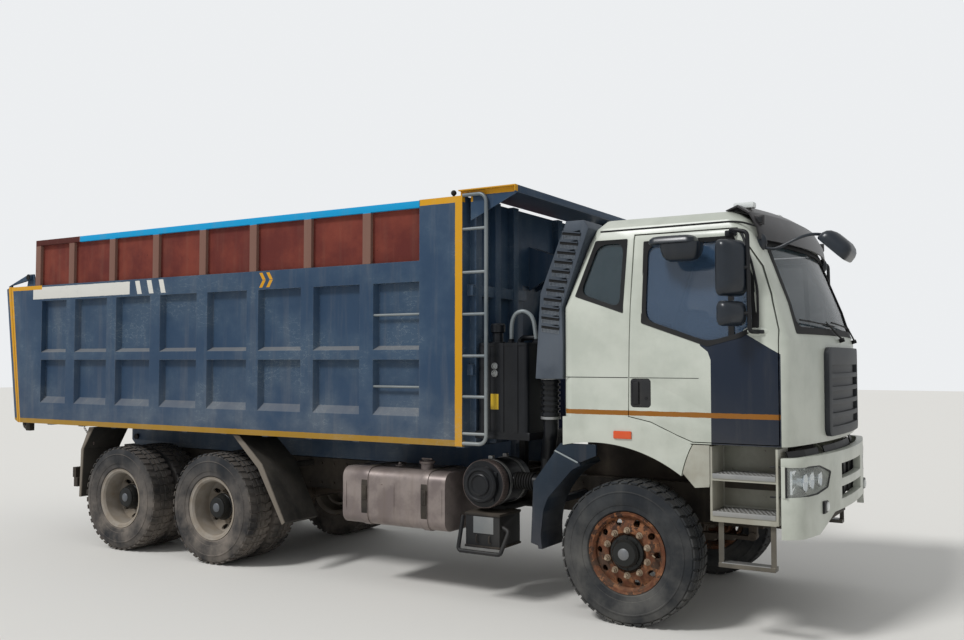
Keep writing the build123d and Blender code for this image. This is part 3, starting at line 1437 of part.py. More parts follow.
save(hoist_tube.part, "hoist_tube")

for stage in (1, 2, 3):
    outer = hoist_radius - stage * hoist_stage_step
    with BuildPart() as tube:
        bottom = hoist_base_z + 70
        top = hoist_base_z + tube_length + 12 * stage
        with Locations((at(hoist_x), 0, (bottom + top) / 2)):
            Cylinder(outer, top - bottom)
            if stage < 3:
                Cylinder(outer - hoist_stage_wall, top - bottom, mode=Mode.SUBTRACT)
        if stage == 3:
            with Locations((at(hoist_x), 0, (top + hoist_eye_z) / 2)):
                Box(80, 70, hoist_eye_z - top)
            with Locations((at(hoist_x), 0, hoist_eye_z)):
                Cylinder(58, 90, rotation=(90, 0, 0))
    save(tube.part, f"hoist_stage_{stage}")
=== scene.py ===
"""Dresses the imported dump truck: worn paint, tyres, glass, lamps, pipes and small fittings.

Every length is in metres, with +Y to the truck's left, +Z up and the ground at zero. Pieces are built in
stations, which is x measured forward from the front axle's centre line, and the workshop moves them into the
truck's frame.
"""
from __future__ import annotations

import json
import logging
import math
from dataclasses import dataclass, field, replace
from enum import Enum
from functools import partial
from typing import Sequence

import bmesh
import bpy
from mathutils import Matrix, Vector

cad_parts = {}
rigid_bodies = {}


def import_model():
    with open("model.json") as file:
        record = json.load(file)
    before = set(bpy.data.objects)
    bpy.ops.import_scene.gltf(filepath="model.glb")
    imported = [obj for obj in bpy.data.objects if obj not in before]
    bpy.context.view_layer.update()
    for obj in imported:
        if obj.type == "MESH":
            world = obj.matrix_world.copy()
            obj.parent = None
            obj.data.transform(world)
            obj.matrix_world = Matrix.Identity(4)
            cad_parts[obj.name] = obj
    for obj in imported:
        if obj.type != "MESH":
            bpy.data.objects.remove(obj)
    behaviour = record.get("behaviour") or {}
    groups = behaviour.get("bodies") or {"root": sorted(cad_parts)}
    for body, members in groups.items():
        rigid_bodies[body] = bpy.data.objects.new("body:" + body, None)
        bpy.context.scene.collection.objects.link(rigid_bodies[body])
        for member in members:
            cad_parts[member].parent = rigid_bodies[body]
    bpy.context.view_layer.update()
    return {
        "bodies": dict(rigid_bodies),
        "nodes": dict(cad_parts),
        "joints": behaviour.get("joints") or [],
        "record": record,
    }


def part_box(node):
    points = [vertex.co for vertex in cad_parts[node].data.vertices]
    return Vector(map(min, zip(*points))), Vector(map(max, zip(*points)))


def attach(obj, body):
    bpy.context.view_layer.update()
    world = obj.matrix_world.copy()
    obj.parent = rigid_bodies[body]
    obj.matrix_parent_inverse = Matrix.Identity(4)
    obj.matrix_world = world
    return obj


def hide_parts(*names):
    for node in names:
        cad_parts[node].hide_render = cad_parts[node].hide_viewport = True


log = logging.getLogger("dump_truck")

Point = Sequence[float]
Outline = Sequence[Point]
Tree = bpy.types.NodeTree
Node = bpy.types.Node
Socket = bpy.types.NodeSocket

MATH, RANGE, NOISE = "ShaderNodeMath", "ShaderNodeMapRange", "ShaderNodeTexNoise"
SMOOTH = {"interpolation_type": "SMOOTHSTEP"}
SIDES = (-1, 1)
UP = Vector((0, 0, 1))
# Radius at the pole of a turned form, where a small face closes it
POLE = 0.0005


def linear_colour(code: str) -> tuple[float, float, float, float]:
    """Turn an sRGB hex code into the linear colour that a shader takes.

    Args:
        code: Six hex digits.

    Returns:
        Red, green, blue and an alpha of one.
    """
    channels = [int(code[place:place + 2], 16) / 255 for place in (0, 2, 4)]
    linear = [c / 12.92 if c <= 0.04045 else ((c + 0.055) / 1.055) ** 2.4 for c in channels]
    return (linear[0], linear[1], linear[2], 1.0)


def add_node(tree: Tree, kind: str, inputs: dict | None = None, **settings: object) -> Node:
    """Add one node, with its settings, its input values and what feeds it.

    Args:
        tree: The tree that gets the node.
        kind: The node's type name.
        inputs: By input name or number, a value, an output, or a node that stands for its first output.
        **settings: Properties of the node itself.

    Returns:
        The new node.
    """
    made = tree.nodes.new(kind)
    for name, value in settings.items():
        setattr(made, name, value)
    for key, value in (inputs or {}).items():
        source = value.outputs[0] if isinstance(value, Node) else value
        if isinstance(source, Socket):
            tree.links.new(source, made.inputs[key])
        else:
            made.inputs[key].default_value = source
    return made


def new_material(name: str) -> bpy.types.Material:
    """Make a material whose node tree is empty.

    Args:
        name: The material's name.

    Returns:
        The new material.
    """
    material = bpy.data.materials.new(name)
    material.use_nodes = True
    material.node_tree.nodes.clear()
    return material


def new_object(name: str, data: bpy.types.ID | None) -> bpy.types.Object:
    """Put an object into the scene, at the origin.

    Args:
        name: The object's name.
        data: Its mesh, lamp or camera.

    Returns:
        The new object.
    """
    made = bpy.data.objects.new(name, data)
    bpy.context.scene.collection.objects.link(made)
    return made


class Slot(Enum):
    """The record's material slots."""

    CAB = "cab_paint"
    BOARDS = "board_paint"
    CHASSIS = "chassis_paint"
    TANK = "tank_paint"
    FUEL_TANK = "fuel_tank_metal"
    CAST = "cast_metal"
    FRONT_RIM = "front_rim_paint"
    REAR_RIM = "rear_rim_paint"
    TYRE = "tyre"
    LENS = "lamp_lens"
    BLACK = "black_plastic"
    SNORKEL = "snorkel_plastic"
    ROD = "chrome_rod"


class Body(Enum):
    """The truck's moving bodies that carry added pieces."""

    CHASSIS = "chassis"
    CAB = "cab"
    DOOR_LEFT = "door_left"
    DOOR_RIGHT = "door_right"
    BED = "bed"
    HOIST = "hoist_tube"


class Side(Enum):
    """A side of the truck, as the sign of its y."""

    LEFT = 1
    RIGHT = -1

    @property
    def label(self) -> str:
        """The side's name in nodes and pieces."""
        return self.name.lower()

    @property
    def door(self) -> Body:
        """The door on this side."""
        return Body[f"DOOR_{self.name}"]


class Axis(Enum):
    """Direction of a turning axis or of a band's width."""

    X = 0
    Y = 1
    Z = 2

    @property
    def vector(self) -> Vector:
        """Unit vector along the axis."""
        return Vector(tuple(1.0 if place == self.value else 0.0 for place in range(3)))

    def lift(self, point: Point, depth: float) -> Vector:
        """Place of a flat outline's point at a depth along the axis, the outline lying across it."""
        return Vector((*point[:self.value], depth, *point[self.value:]))


WHEELS = tuple((place, side) for place in ("front", "mid", "last") for side in Side)


@dataclass(frozen=True)
class Patch:
    """A painted area on both sides: a convex outline in side view and a range of half widths."""

    colour: str
    outline: Outline
    across: tuple[float, float]
    wear: float

    def mask(self, tree: Tree, place: Node, chips: Node) -> Node:
        """Build the mask of this area, its edge eaten by chips.

        Args:
            tree: The material's tree.
            place: Object coordinates with y made positive.
            chips: A noise between zero and one.

        Returns:
            A node that gives one inside the area.
        """
        node = partial(add_node, tree)
        corners = [Vector((x, 0.0, z)) for x, z in self.outline]
        centre = sum(corners, Vector()) / len(corners)
        sides = [(Vector((0, 1, 0)), self.across[0]), (Vector((0, -1, 0)), -self.across[1])]
        for start, end in zip(corners, corners[1:] + corners[:1]):
            normal = Vector((start.z - end.z, 0.0, end.x - start.x)).normalized()
            if normal.dot(centre - start) < 0:
                normal = -normal
            sides.append((normal, normal.dot(start)))
        inside = None
        for normal, offset in sides:
            along = node("ShaderNodeVectorMath", {0: place, 1: normal},
                         operation="DOT_PRODUCT").outputs["Value"]
            depth = node(MATH, {0: along, 1: offset}, operation="SUBTRACT")
            inside = depth if inside is None else node(MATH, {0: inside, 1: depth}, operation="MINIMUM")
        eaten = node(MATH, {0: chips, 1: self.wear}, operation="MULTIPLY")
        return node(MATH, {0: inside, 1: eaten}, operation="GREATER_THAN")


@dataclass(frozen=True)
class WornFinish:
    """An opaque surface with its colour, fading, dust, rust and rubbed edges."""

    name: str
    base: str
    faded: str
    dust: str = "9a8f7e"
    rust: str = "6b3a22"
    dust_share: float = 0.25
    # Heights between which the dust from the road grows
    dust_low: float = 0.3
    dust_high: float = 3.0
    rust_share: float = 0.02
    edge: str = "8d8a82"
    edge_share: float = 0.35
    edge_radius: float = 0.006
    roughness: float = 0.45
    metallic: float = 0.0
    fade_size: float = 0.5
    grain_size: float = 0.004
    grain_depth: float = 0.0004
    streaks: float = 0.3
    coat: float = 0.0
    specular: float = 0.3
    ledge_dust: float = 0.45
    scratches: float = 0.0
    scratch_colour: str = "9aa0a2"
    patches: tuple[Patch, ...] = ()

    def toned(self, name: str, base: str, faded: str, **changes: object) -> "WornFinish":
        """The same surface under another name and in other colours."""
        return replace(self, name=name, base=base, faded=faded, **changes)

    def build(self) -> bpy.types.Material:
        """Make the material's node tree: layers over the base coat, then the shader.

        Returns:
            The finished material.
        """
        material = new_material(self.name)
        tree = material.node_tree
        node = partial(add_node, tree)
        place = node("ShaderNodeTexCoord").outputs["Object"]
        # Scale, detail and roughness of the broad fading, the fine grain, and the specks of chips and rust
        noises = ((1 / self.fade_size, 5.0, 0.6), (0.25 / self.grain_size, 6.0, 0.7), (14.0, 8.0, 0.72))
        broad, fine, speck = (node(NOISE, {"Vector": place, "Scale": scale, "Detail": detail,
                                           "Roughness": rough})
                              for scale, detail, rough in noises)
        layers = [(node(RANGE, {0: broad, 1: 0.38, 2: 0.66}, **SMOOTH), self.faded)]
        if self.patches:
            mirrored = self.mirrored(tree, place)
            layers += [(patch.mask(tree, mirrored, speck), patch.colour) for patch in self.patches]
        if self.scratches:
            layers.append((self.scratched(tree, place, broad), self.scratch_colour))
        spots = node(RANGE, {0: speck, 1: 0.72 - self.rust_share, 2: 0.75 - self.rust_share}, **SMOOTH)
        areas = node(RANGE, {0: broad, 1: 0.42, 2: 0.55}, **SMOOTH)
        rusty = node(MATH, {0: spots, 1: areas}, operation="MULTIPLY")
        dusty = self.dusted(tree, place, broad)
        layers += [(self.rubbed(tree, speck), self.edge), (rusty, self.rust), (dusty, self.dust)]
        colour = linear_colour(self.base)
        for share, code in layers:
            over = node("ShaderNodeMix", {0: share, 6: colour, 7: linear_colour(code)}, data_type="RGBA")
            colour = over.outputs[2]
        dull = node(MATH, {0: dusty, 1: 0.4, 2: self.roughness}, operation="MULTIPLY_ADD")
        coarse = node(MATH, {0: rusty, 1: 0.85}, operation="MULTIPLY")
        rough = node(MATH, {0: dull, 1: coarse}, operation="MAXIMUM", use_clamp=True)
        bump = node("ShaderNodeBump", {"Height": fine, "Distance": self.grain_depth, "Strength": 0.8})
        shader = node("ShaderNodeBsdfPrincipled", {
            "Base Color": colour, "Roughness": rough, "Metallic": self.metallic, "Normal": bump,
            "Coat Weight": self.coat, "Coat Roughness": 0.2, "Specular IOR Level": self.specular})
        node("ShaderNodeOutputMaterial", {"Surface": shader})
        return material

    @staticmethod
    def mirrored(tree: Tree, place: Socket) -> Node:
        """Make y positive, so that both sides are painted alike.

        Args:
            tree: The material's tree.
            place: Object coordinates.

        Returns:
            A node that gives the same coordinates with a positive y.
        """
        straight = add_node(tree, "ShaderNodeSeparateXYZ", {0: place}).outputs
        aside = add_node(tree, MATH, {0: straight[1]}, operation="ABSOLUTE")
        return add_node(tree, "ShaderNodeCombineXYZ", {0: straight[0], 1: aside, 2: straight[2]})

    def scratched(self, tree: Tree, place: Socket, broad: Node) -> Node:
        """Draw the fine pale scratches that stones and branches leave, in patches.

        Args:
            tree: The material's tree.
            place: Object coordinates.
            broad: The noise that says where they gather.

        Returns:
            A node that gives the scratches' share.
        """
        node = partial(add_node, tree)
        bent = node("ShaderNodeMapping", {"Vector": place, "Scale": (3.0, 3.0, 9.0),
                                          "Rotation": (0.0, 0.9, 0.0)})
        veins = node(NOISE, {"Vector": bent, "Scale": 2.2, "Detail": 9.0, "Roughness": 0.62})
        off = node(MATH, {0: veins, 1: 0.5}, operation="SUBTRACT")
        line = node(MATH, {0: off}, operation="ABSOLUTE")
        thin = node(RANGE, {0: line, 1: 0.007, 2: 0.0015, 4: self.scratches}, **SMOOTH)
        patchy = node(RANGE, {0: broad, 1: 0.5, 2: 0.64}, **SMOOTH)
        return node(MATH, {0: thin, 1: patchy}, operation="MULTIPLY")

    def rubbed(self, tree: Tree, speck: Node) -> Node:
        """Find the corners that hands, stones and loads rub bare.

        Args:
            tree: The material's tree.
            speck: The noise that breaks them up.

        Returns:
            A node that gives the bare share.
        """
        node = partial(add_node, tree)
        rounded = node("ShaderNodeBevel", {"Radius": self.edge_radius}, samples=4)
        straight = node("ShaderNodeNewGeometry").outputs["Normal"]
        along = node("ShaderNodeVectorMath", {0: rounded, 1: straight},
                     operation="DOT_PRODUCT").outputs["Value"]
        sharp = node(RANGE, {0: along, 1: 0.98, 2: 0.8, 4: self.edge_share}, **SMOOTH)
        broken = node(RANGE, {0: speck, 1: 0.42, 2: 0.6}, **SMOOTH)
        return node(MATH, {0: sharp, 1: broken}, operation="MULTIPLY")

    def dusted(self, tree: Tree, place: Socket, broad: Node) -> Node:
        """Lay dust near the ground, on what faces up, and in the streaks that rain draws.

        Args:
            tree: The material's tree.
            place: Object coordinates.
            broad: The noise that makes the road dust patchy.

        Returns:
            A node that gives the dust's share.
        """
        node = partial(add_node, tree)
        height = node("ShaderNodeSeparateXYZ", {0: place}).outputs[2]
        facing = node("ShaderNodeSeparateXYZ",
                      {0: node("ShaderNodeNewGeometry").outputs["Normal"]}).outputs[2]
        drawn = node("ShaderNodeMapping", {"Vector": place, "Scale": (9.0, 9.0, 0.7)})
        streak = node(NOISE, {"Vector": drawn, "Scale": 1.0, "Detail": 6.0, "Roughness": 0.65})
        low_down = node(RANGE, {0: height, 1: self.dust_high, 2: self.dust_low}, **SMOOTH)
        patchy = node(RANGE, {0: broad, 1: 0.25, 2: 0.75}, **SMOOTH)
        upward = node(RANGE, {0: facing, 1: 0.3, 2: 0.95, 4: self.ledge_dust}, **SMOOTH)
        lines = node(RANGE, {0: streak, 1: 0.48, 2: 0.72, 4: self.streaks}, **SMOOTH)
        settled = node(MATH, {0: upward, 1: lines}, operation="ADD")
        total = node(MATH, {0: low_down, 1: patchy, 2: settled}, operation="MULTIPLY_ADD")
        return node(MATH, {0: total, 1: self.dust_share}, operation="MULTIPLY", use_clamp=True)


@dataclass(frozen=True)
class ClearFinish:
    """Glass or a lamp lens: tinted, smooth and partly see-through under a film of dust."""

    name: str
    tint: str
    alpha: float

    def build(self) -> bpy.types.Material:
        """Make the material's node tree.

        Returns:
            The finished material.
        """
        material = new_material(self.name)
        node = partial(add_node, material.node_tree)
        place = node("ShaderNodeTexCoord").outputs["Object"]
        film = node(NOISE, {"Vector": place, "Scale": 3.0, "Detail": 6.0})
        dusty = node(RANGE, {0: film, 1: 0.35, 2: 0.8, 3: self.alpha, 4: self.alpha + 0.18})
        shader = node("ShaderNodeBsdfPrincipled", {"Base Color": linear_colour(self.tint), "Alpha": dusty,
                                                   "Roughness": 0.04, "IOR": 1.5, "Specular IOR Level": 1.0})
        node("ShaderNodeOutputMaterial", {"Surface": shader})
        material.surface_render_method = "BLENDED"
        return material


@dataclass
class Studio:
    """Floor, light and the camera at the photograph's view."""

    front_axle: float
    camera_station: float = 2.8066
    camera_side: float = -7.8595
    camera_height: float = 1.9788
    azimuth: float = math.radians(31.189)
    pitch: float = math.radians(2.415)
    focal_pixels: float = 954.73
    image_width: float = 964.0
    sensor_width: float = 36.0
    floor_half: float = 60.0

    def build(self) -> None:
        """Make the floor, the world, the lamp and the camera."""
        self.make_floor()
        self.make_world()
        data = bpy.data.lights.new("soft_sun", "SUN")
        data.energy = 2.1
        data.angle = math.radians(12)
        # High on the truck's right and behind
        away = Vector((-0.35, -0.8, 0.95))
        new_object("soft_sun", data).rotation_euler = away.to_track_quat("Z", "Y").to_euler()
        self.make_camera()
        bpy.context.scene.view_settings.view_transform = "Standard"

    def make_floor(self) -> None:
        """Pale concrete floor."""
        half = self.floor_half
        mesh = bpy.data.meshes.new("floor")
        mesh.from_pydata([(-half, -half, 0), (half, -half, 0), (half, half, 0), (-half, half, 0)], [],
                         [(0, 1, 2, 3)])
        material = new_material("pale_concrete")
        dry = {"Base Color": linear_colour("d9d7d2"), "Roughness": 0.9}
        shader = add_node(material.node_tree, "ShaderNodeBsdfPrincipled", dry)
        add_node(material.node_tree, "ShaderNodeOutputMaterial", {"Surface": shader})
        mesh.materials.append(material)
        new_object("floor", mesh)

    def make_world(self) -> None:
        """Even sky light, shown pale to the camera and through glass."""
        world = bpy.data.worlds.new("studio")
        bpy.context.scene.world = world
        world.use_nodes = True
        world.node_tree.nodes.clear()
        node = partial(add_node, world.node_tree)
        path = node("ShaderNodeLightPath").outputs
        seen = node(MATH, {0: path["Is Camera Ray"], 1: path["Is Transmission Ray"]}, operation="MAXIMUM")
        strength = node(RANGE, {0: seen, 3: 0.62, 4: 0.93})
        sky = node("ShaderNodeBackground", {"Color": linear_colour("f4f6f8"), "Strength": strength})
        node("ShaderNodeOutputWorld", {"Surface": sky})

    def make_camera(self) -> None:
        """Camera where the photograph was taken from."""
        data = bpy.data.cameras.new("camera")
        data.sensor_width = self.sensor_width
        data.lens = self.focal_pixels / self.image_width * self.sensor_width
        data.clip_end = 300.0
        level = math.cos(self.pitch)
        forward = Vector((-math.sin(self.azimuth) * level, math.cos(self.azimuth) * level,
                          math.sin(self.pitch)))
        camera = new_object("camera", data)
        camera.location = (self.front_axle + self.camera_station, self.camera_side, self.camera_height)
        camera.rotation_euler = forward.to_track_quat("-Z", "Y").to_euler()
        bpy.context.scene.camera = camera


def sided(side: int, *points: Point) -> list[Vector]:
    """Places given for the truck's left, taken to a side."""
    return [Vector((x, side * y, z)) for x, y, z in points]


class Shape:
    """Closed parts gathered into the mesh of one piece."""

    def __init__(self) -> None:
        """Start with no parts."""
        self.mesh = bmesh.new()

    def box(self, low: Point, high: Point, bevel: float = 0.0) -> None:
        """Add a box.

        Args:
            low: One of its corners.
            high: The corner across from it.
            bevel: Rounding of its edges.
        """
        centre = (Vector(low) + Vector(high)) / 2
        size = Vector(high) - Vector(low)
        matrix = Matrix.Translation(centre) @ Matrix.Diagonal((*map(abs, size), 1.0))
        made = bmesh.ops.create_cube(self.mesh, size=1.0, matrix=matrix)
        if bevel:
            edges = {edge for vert in made["verts"] for edge in vert.link_edges}
            bmesh.ops.bevel(self.mesh, geom=list(edges), offset=bevel, segments=2, profile=0.6,
                            affect="EDGES")

    def boxes(self, *rows: Point, side: int = 1) -> None:
        """Add boxes, each a row of two x, two y, two heights and a bevel, with its y taken to a side."""
        for x0, x1, y0, y1, z0, z1, bevel in rows:
            self.box((x0, side * y0, z0), (x1, side * y1, z1), bevel)

    def rod(self, start: Point, end: Point, radius: float, sides: int = 16, tip: float | None = None) -> None:
        """Add a round bar, or a cone where its tip has another radius.

        Args:
            start: Middle of its first end.
            end: Middle of its other end.
            radius: Half its thickness.
            sides: Faces round it.
            tip: Radius of its other end.
        """
        begin, stop = Vector(start), Vector(end)
        turn = (stop - begin).to_track_quat("Z", "Y").to_matrix().to_4x4()
        bmesh.ops.create_cone(self.mesh, cap_ends=True, segments=sides, radius1=radius,
                              radius2=radius if tip is None else tip, depth=(stop - begin).length,
                              matrix=Matrix.Translation((begin + stop) / 2) @ turn)

    def ball(self, centre: Point, radius: float, squash: Point = (1, 1, 1)) -> None:
        """Add a ball, flattened by a factor along each axis."""
        matrix = Matrix.Translation(Vector(centre)) @ Matrix.Diagonal((*squash, 1.0))
        bmesh.ops.create_uvsphere(self.mesh, u_segments=20, v_segments=12, radius=radius, matrix=matrix)

    def tube(self, points: Sequence[Point], radius: float, bend: float = 0.05, sides: int = 12) -> None:
        """Add a round pipe along straight runs joined by bends.

        Args:
            points: Corners of the route.
            radius: Half the pipe's thickness.
            bend: Length of each run that a bend takes up.
            sides: Faces round the pipe.
        """
        route = self.rounded_route([Vector(point) for point in points], bend)
        forward = (route[1] - route[0]).normalized()
        across = forward.orthogonal().normalized()
        rings = []
        for place, centre in enumerate(route):
            heading = (route[min(place + 1, len(route) - 1)] - route[max(place - 1, 0)]).normalized()
            across = (forward.rotation_difference(heading) @ across).normalized()
            forward = heading
            up = forward.cross(across)
            rings.append([centre + radius * (math.cos(turn) * across + math.sin(turn) * up)
                          for turn in (2 * math.pi * side / sides for side in range(sides))])
        self.skin(rings)

    @staticmethod
    def rounded_route(points: list[Vector], bend: float, steps: int = 6) -> list[Vector]:
        """Replace a route's corners by short curves.

        Args:
            points: Its corners and ends.
            bend: Length of each run that a curve takes up.
            steps: Straight pieces in each curve.

        Returns:
            The smooth route's points.
        """
        route = [points[0]]
        for before, corner, after in zip(points, points[1:], points[2:]):
            enter = corner + (before - corner).normalized() * min(bend, (corner - before).length * 0.45)
            leave = corner + (after - corner).normalized() * min(bend, (after - corner).length * 0.45)
            route += curve(enter, corner, leave, steps)
        return route + [points[-1]]

    def skin(self, rings: Sequence[Sequence[Point]], capped: bool = True, looped: bool = False,
             lines: bool = False) -> list[list[bmesh.types.BMVert]]:
        """Join rings of points with faces.

        Args:
            rings: The points of each ring, as many in each.
            capped: Whether the first and the last ring are closed by a face.
            looped: Whether the last ring joins the first.
            lines: Whether each ring is a line, whose ends aren't joined.

        Returns:
            The corners made for each ring.
        """
        rows = [[self.mesh.verts.new(point) for point in ring] for ring in rings]
        count = len(rows[0])
        for first, second in zip(rows, rows[1:] + (rows[:1] if looped else [])):
            for side in range(count - 1 if lines else count):
                after = (side + 1) % count
                self.mesh.faces.new((first[side], first[after], second[after], second[side]))
        if capped:
            self.mesh.faces.new(rows[0][::-1])
            self.mesh.faces.new(rows[-1])
        return rows

    def turned(self, profile: Outline, centre: Point, axis: Axis, steps: int, looped: bool = False,
               facing: int = 1) -> None:
        """Add a solid of revolution.

        Args:
            profile: Distance along the axis and radius of each point, in order.
            centre: Where the distance along the axis is zero.
            axis: The axis that it is turned about.
            steps: Faces round the axis.
            looped: Whether the profile closes on itself, as a tyre's does.
            facing: Minus one where the profile runs back along the axis.
        """
        along = axis.vector
        across = Vector((1, 0, 0)) if axis is Axis.Z else UP
        up = along.cross(across)
        rings = []
        for turn in (2 * math.pi * step / steps for step in range(steps)):
            outward = math.cos(turn) * across + math.sin(turn) * up
            rings.append([Vector(centre) + along * facing * place + outward * radius
                          for place, radius in profile])
        rows = self.skin(rings, capped=False, looped=True, lines=not looped)
        if not looped:
            self.mesh.faces.new([row[0] for row in rows])
            self.mesh.faces.new([row[-1] for row in reversed(rows)])

    def slab(self, corners: Sequence[Point], thickness: float, outward: Point) -> None:
        """Add a plate over any loop of corners, thickened along a direction."""
        step = Vector(outward).normalized() * thickness
        self.skin([[Vector(point) + step * share for point in corners] for share in (0, 1)])

    def band(self, outer: Outline, inner: Outline, low: float, high: float, axis: Axis) -> None:
        """Add a closed band between two outlines of as many points, such as a strap.

        Args:
            outer: Outline of its outside in the plane across the axis.
            inner: Outline of its inside.
            low: Where it starts along the axis.
            high: Where it ends along the axis.
            axis: Direction of its width.
        """
        self.skin([[axis.lift(outward, low), axis.lift(outward, high), axis.lift(inward, high),
                    axis.lift(inward, low)]
                   for outward, inward in zip(outer, inner)], capped=False, looped=True)

    def loft(self, outlines: Sequence[tuple[Outline, float]], centre: Vector, up: Vector,
             out: Vector) -> None:
        """Add a closed form through flat outlines stacked along a direction.

        Args:
            outlines: Each outline with its distance from the centre.
            centre: Where the distance is zero.
            up: Direction of an outline's second number.
            out: Direction that the outlines are stacked in.
        """
        across = out.cross(up).normalized()
        self.skin([[centre + across * first + up * second + out * depth for first, second in outline]
                   for outline, depth in outlines])

    def take(self, mesh: bpy.types.Mesh) -> None:
        """Add another mesh's faces."""
        self.mesh.from_mesh(mesh)
        bpy.data.meshes.remove(mesh)

    def to_mesh(self, name: str, smooth: float = 35.0) -> bpy.types.Mesh:
        """Turn the parts into a mesh, smooth below an angle.

        Args:
            name: The mesh's name.
            smooth: Degrees between faces below which they are shaded as one.

        Returns:
            The finished mesh.
        """
        mesh = bpy.data.meshes.new(name)
        self.mesh.to_mesh(mesh)
        self.mesh.free()
        mesh.shade_smooth()
        mesh.set_sharp_from_angle(angle=math.radians(smooth))
        return mesh

    def outward(self) -> "Shape":
        """This shape with all of its faces turned outwards."""
        bmesh.ops.recalc_face_normals(self.mesh, faces=self.mesh.faces)
        return self


class Repeats:
    """Geometry Nodes trees that copy one part round a ring or along a row."""

    def __init__(self) -> None:
        """Build both trees."""
        self.ring_tree = self.make_tree("ring_of_parts", ring=True)
        self.row_tree = self.make_tree("row_of_parts", ring=False)

    @staticmethod
    def make_tree(name: str, ring: bool) -> Tree:
        """Build one tree with named inputs.

        Args:
            name: The tree's name.
            ring: Whether copies turn about an axis through Place, or step from Place along Step.

        Returns:
            The tree.
        """
        tree = bpy.data.node_groups.new(name, "GeometryNodeTree")
        node = partial(add_node, tree)
        for label, kind in (("Geometry", "Geometry"), ("Part", "Object"), ("Count", "Int"),
                            ("Place", "Vector"), ("Step", "Vector"), ("Material", "Material")):
            tree.interface.new_socket(name=label, in_out="INPUT", socket_type=f"NodeSocket{kind}")
        tree.interface.new_socket(name="Geometry", in_out="OUTPUT", socket_type="NodeSocketGeometry")
        given = node("NodeGroupInput").outputs
        part = node("GeometryNodeObjectInfo", {"Object": given["Part"]})
        line = node("GeometryNodeMeshLine", {"Count": given["Count"], "Start Location": given["Place"],
                                             "Offset": (0, 0, 0) if ring else given["Step"]}, mode="OFFSET")
        spots = {"Points": line, "Instance": part.outputs["Geometry"]}
        if ring:
            share = node(MATH, {0: node("GeometryNodeInputIndex"), 1: given["Count"]}, operation="DIVIDE")
            angle = node(MATH, {0: share, 1: 2 * math.pi}, operation="MULTIPLY")
            spots["Rotation"] = node("FunctionNodeAxisAngleToRotation",
                                     {"Axis": given["Step"], "Angle": angle})
        real = node("GeometryNodeRealizeInstances", {0: node("GeometryNodeInstanceOnPoints", spots)})
        painted = node("GeometryNodeSetMaterial", {"Geometry": real, "Material": given["Material"]})
        node("NodeGroupOutput", {0: painted})
        return tree

    @staticmethod
    def run(tree: Tree, part: Shape, count: int, place: Point, step: Point) -> bpy.types.Mesh:
        """Copy a part with one tree.

        Args:
            tree: The ring or the row tree.
            part: The part, built about the origin.
            count: How many copies.
            place: The ring's centre or the row's first place.
            step: The ring's axis or the row's step.

        Returns:
            A plain mesh of all the copies.
        """
        source = new_object("part", part.outward().to_mesh("part"))
        host = new_object("host", bpy.data.meshes.new("host"))
        modifier = host.modifiers.new("copies", "NODES")
        modifier.node_group = tree
        values = {"Part": source, "Count": count, "Place": tuple(place), "Step": tuple(step),
                  "Material": None}
        for item in tree.interface.items_tree:
            if item.in_out == "INPUT" and item.name in values:
                modifier[item.identifier] = values[item.name]
        graph = bpy.context.evaluated_depsgraph_get()
        graph.update()
        copies = bpy.data.meshes.new_from_object(host.evaluated_get(graph))
        host.modifiers.remove(modifier)
        for item in (source, host):
            mesh = item.data
            bpy.data.objects.remove(item)
            bpy.data.meshes.remove(mesh)
        return copies

    def ring(self, part: Shape, count: int, centre: Point, axis: Axis) -> bpy.types.Mesh:
        """Copies of a part turned about an axis through a centre."""
        return self.run(self.ring_tree, part, count, centre, axis.vector)

    def row(self, part: Shape, count: int, start: Point, step: Point) -> bpy.types.Mesh:
        """Copies of a part along a straight row."""
        return self.run(self.row_tree, part, count, start, step)


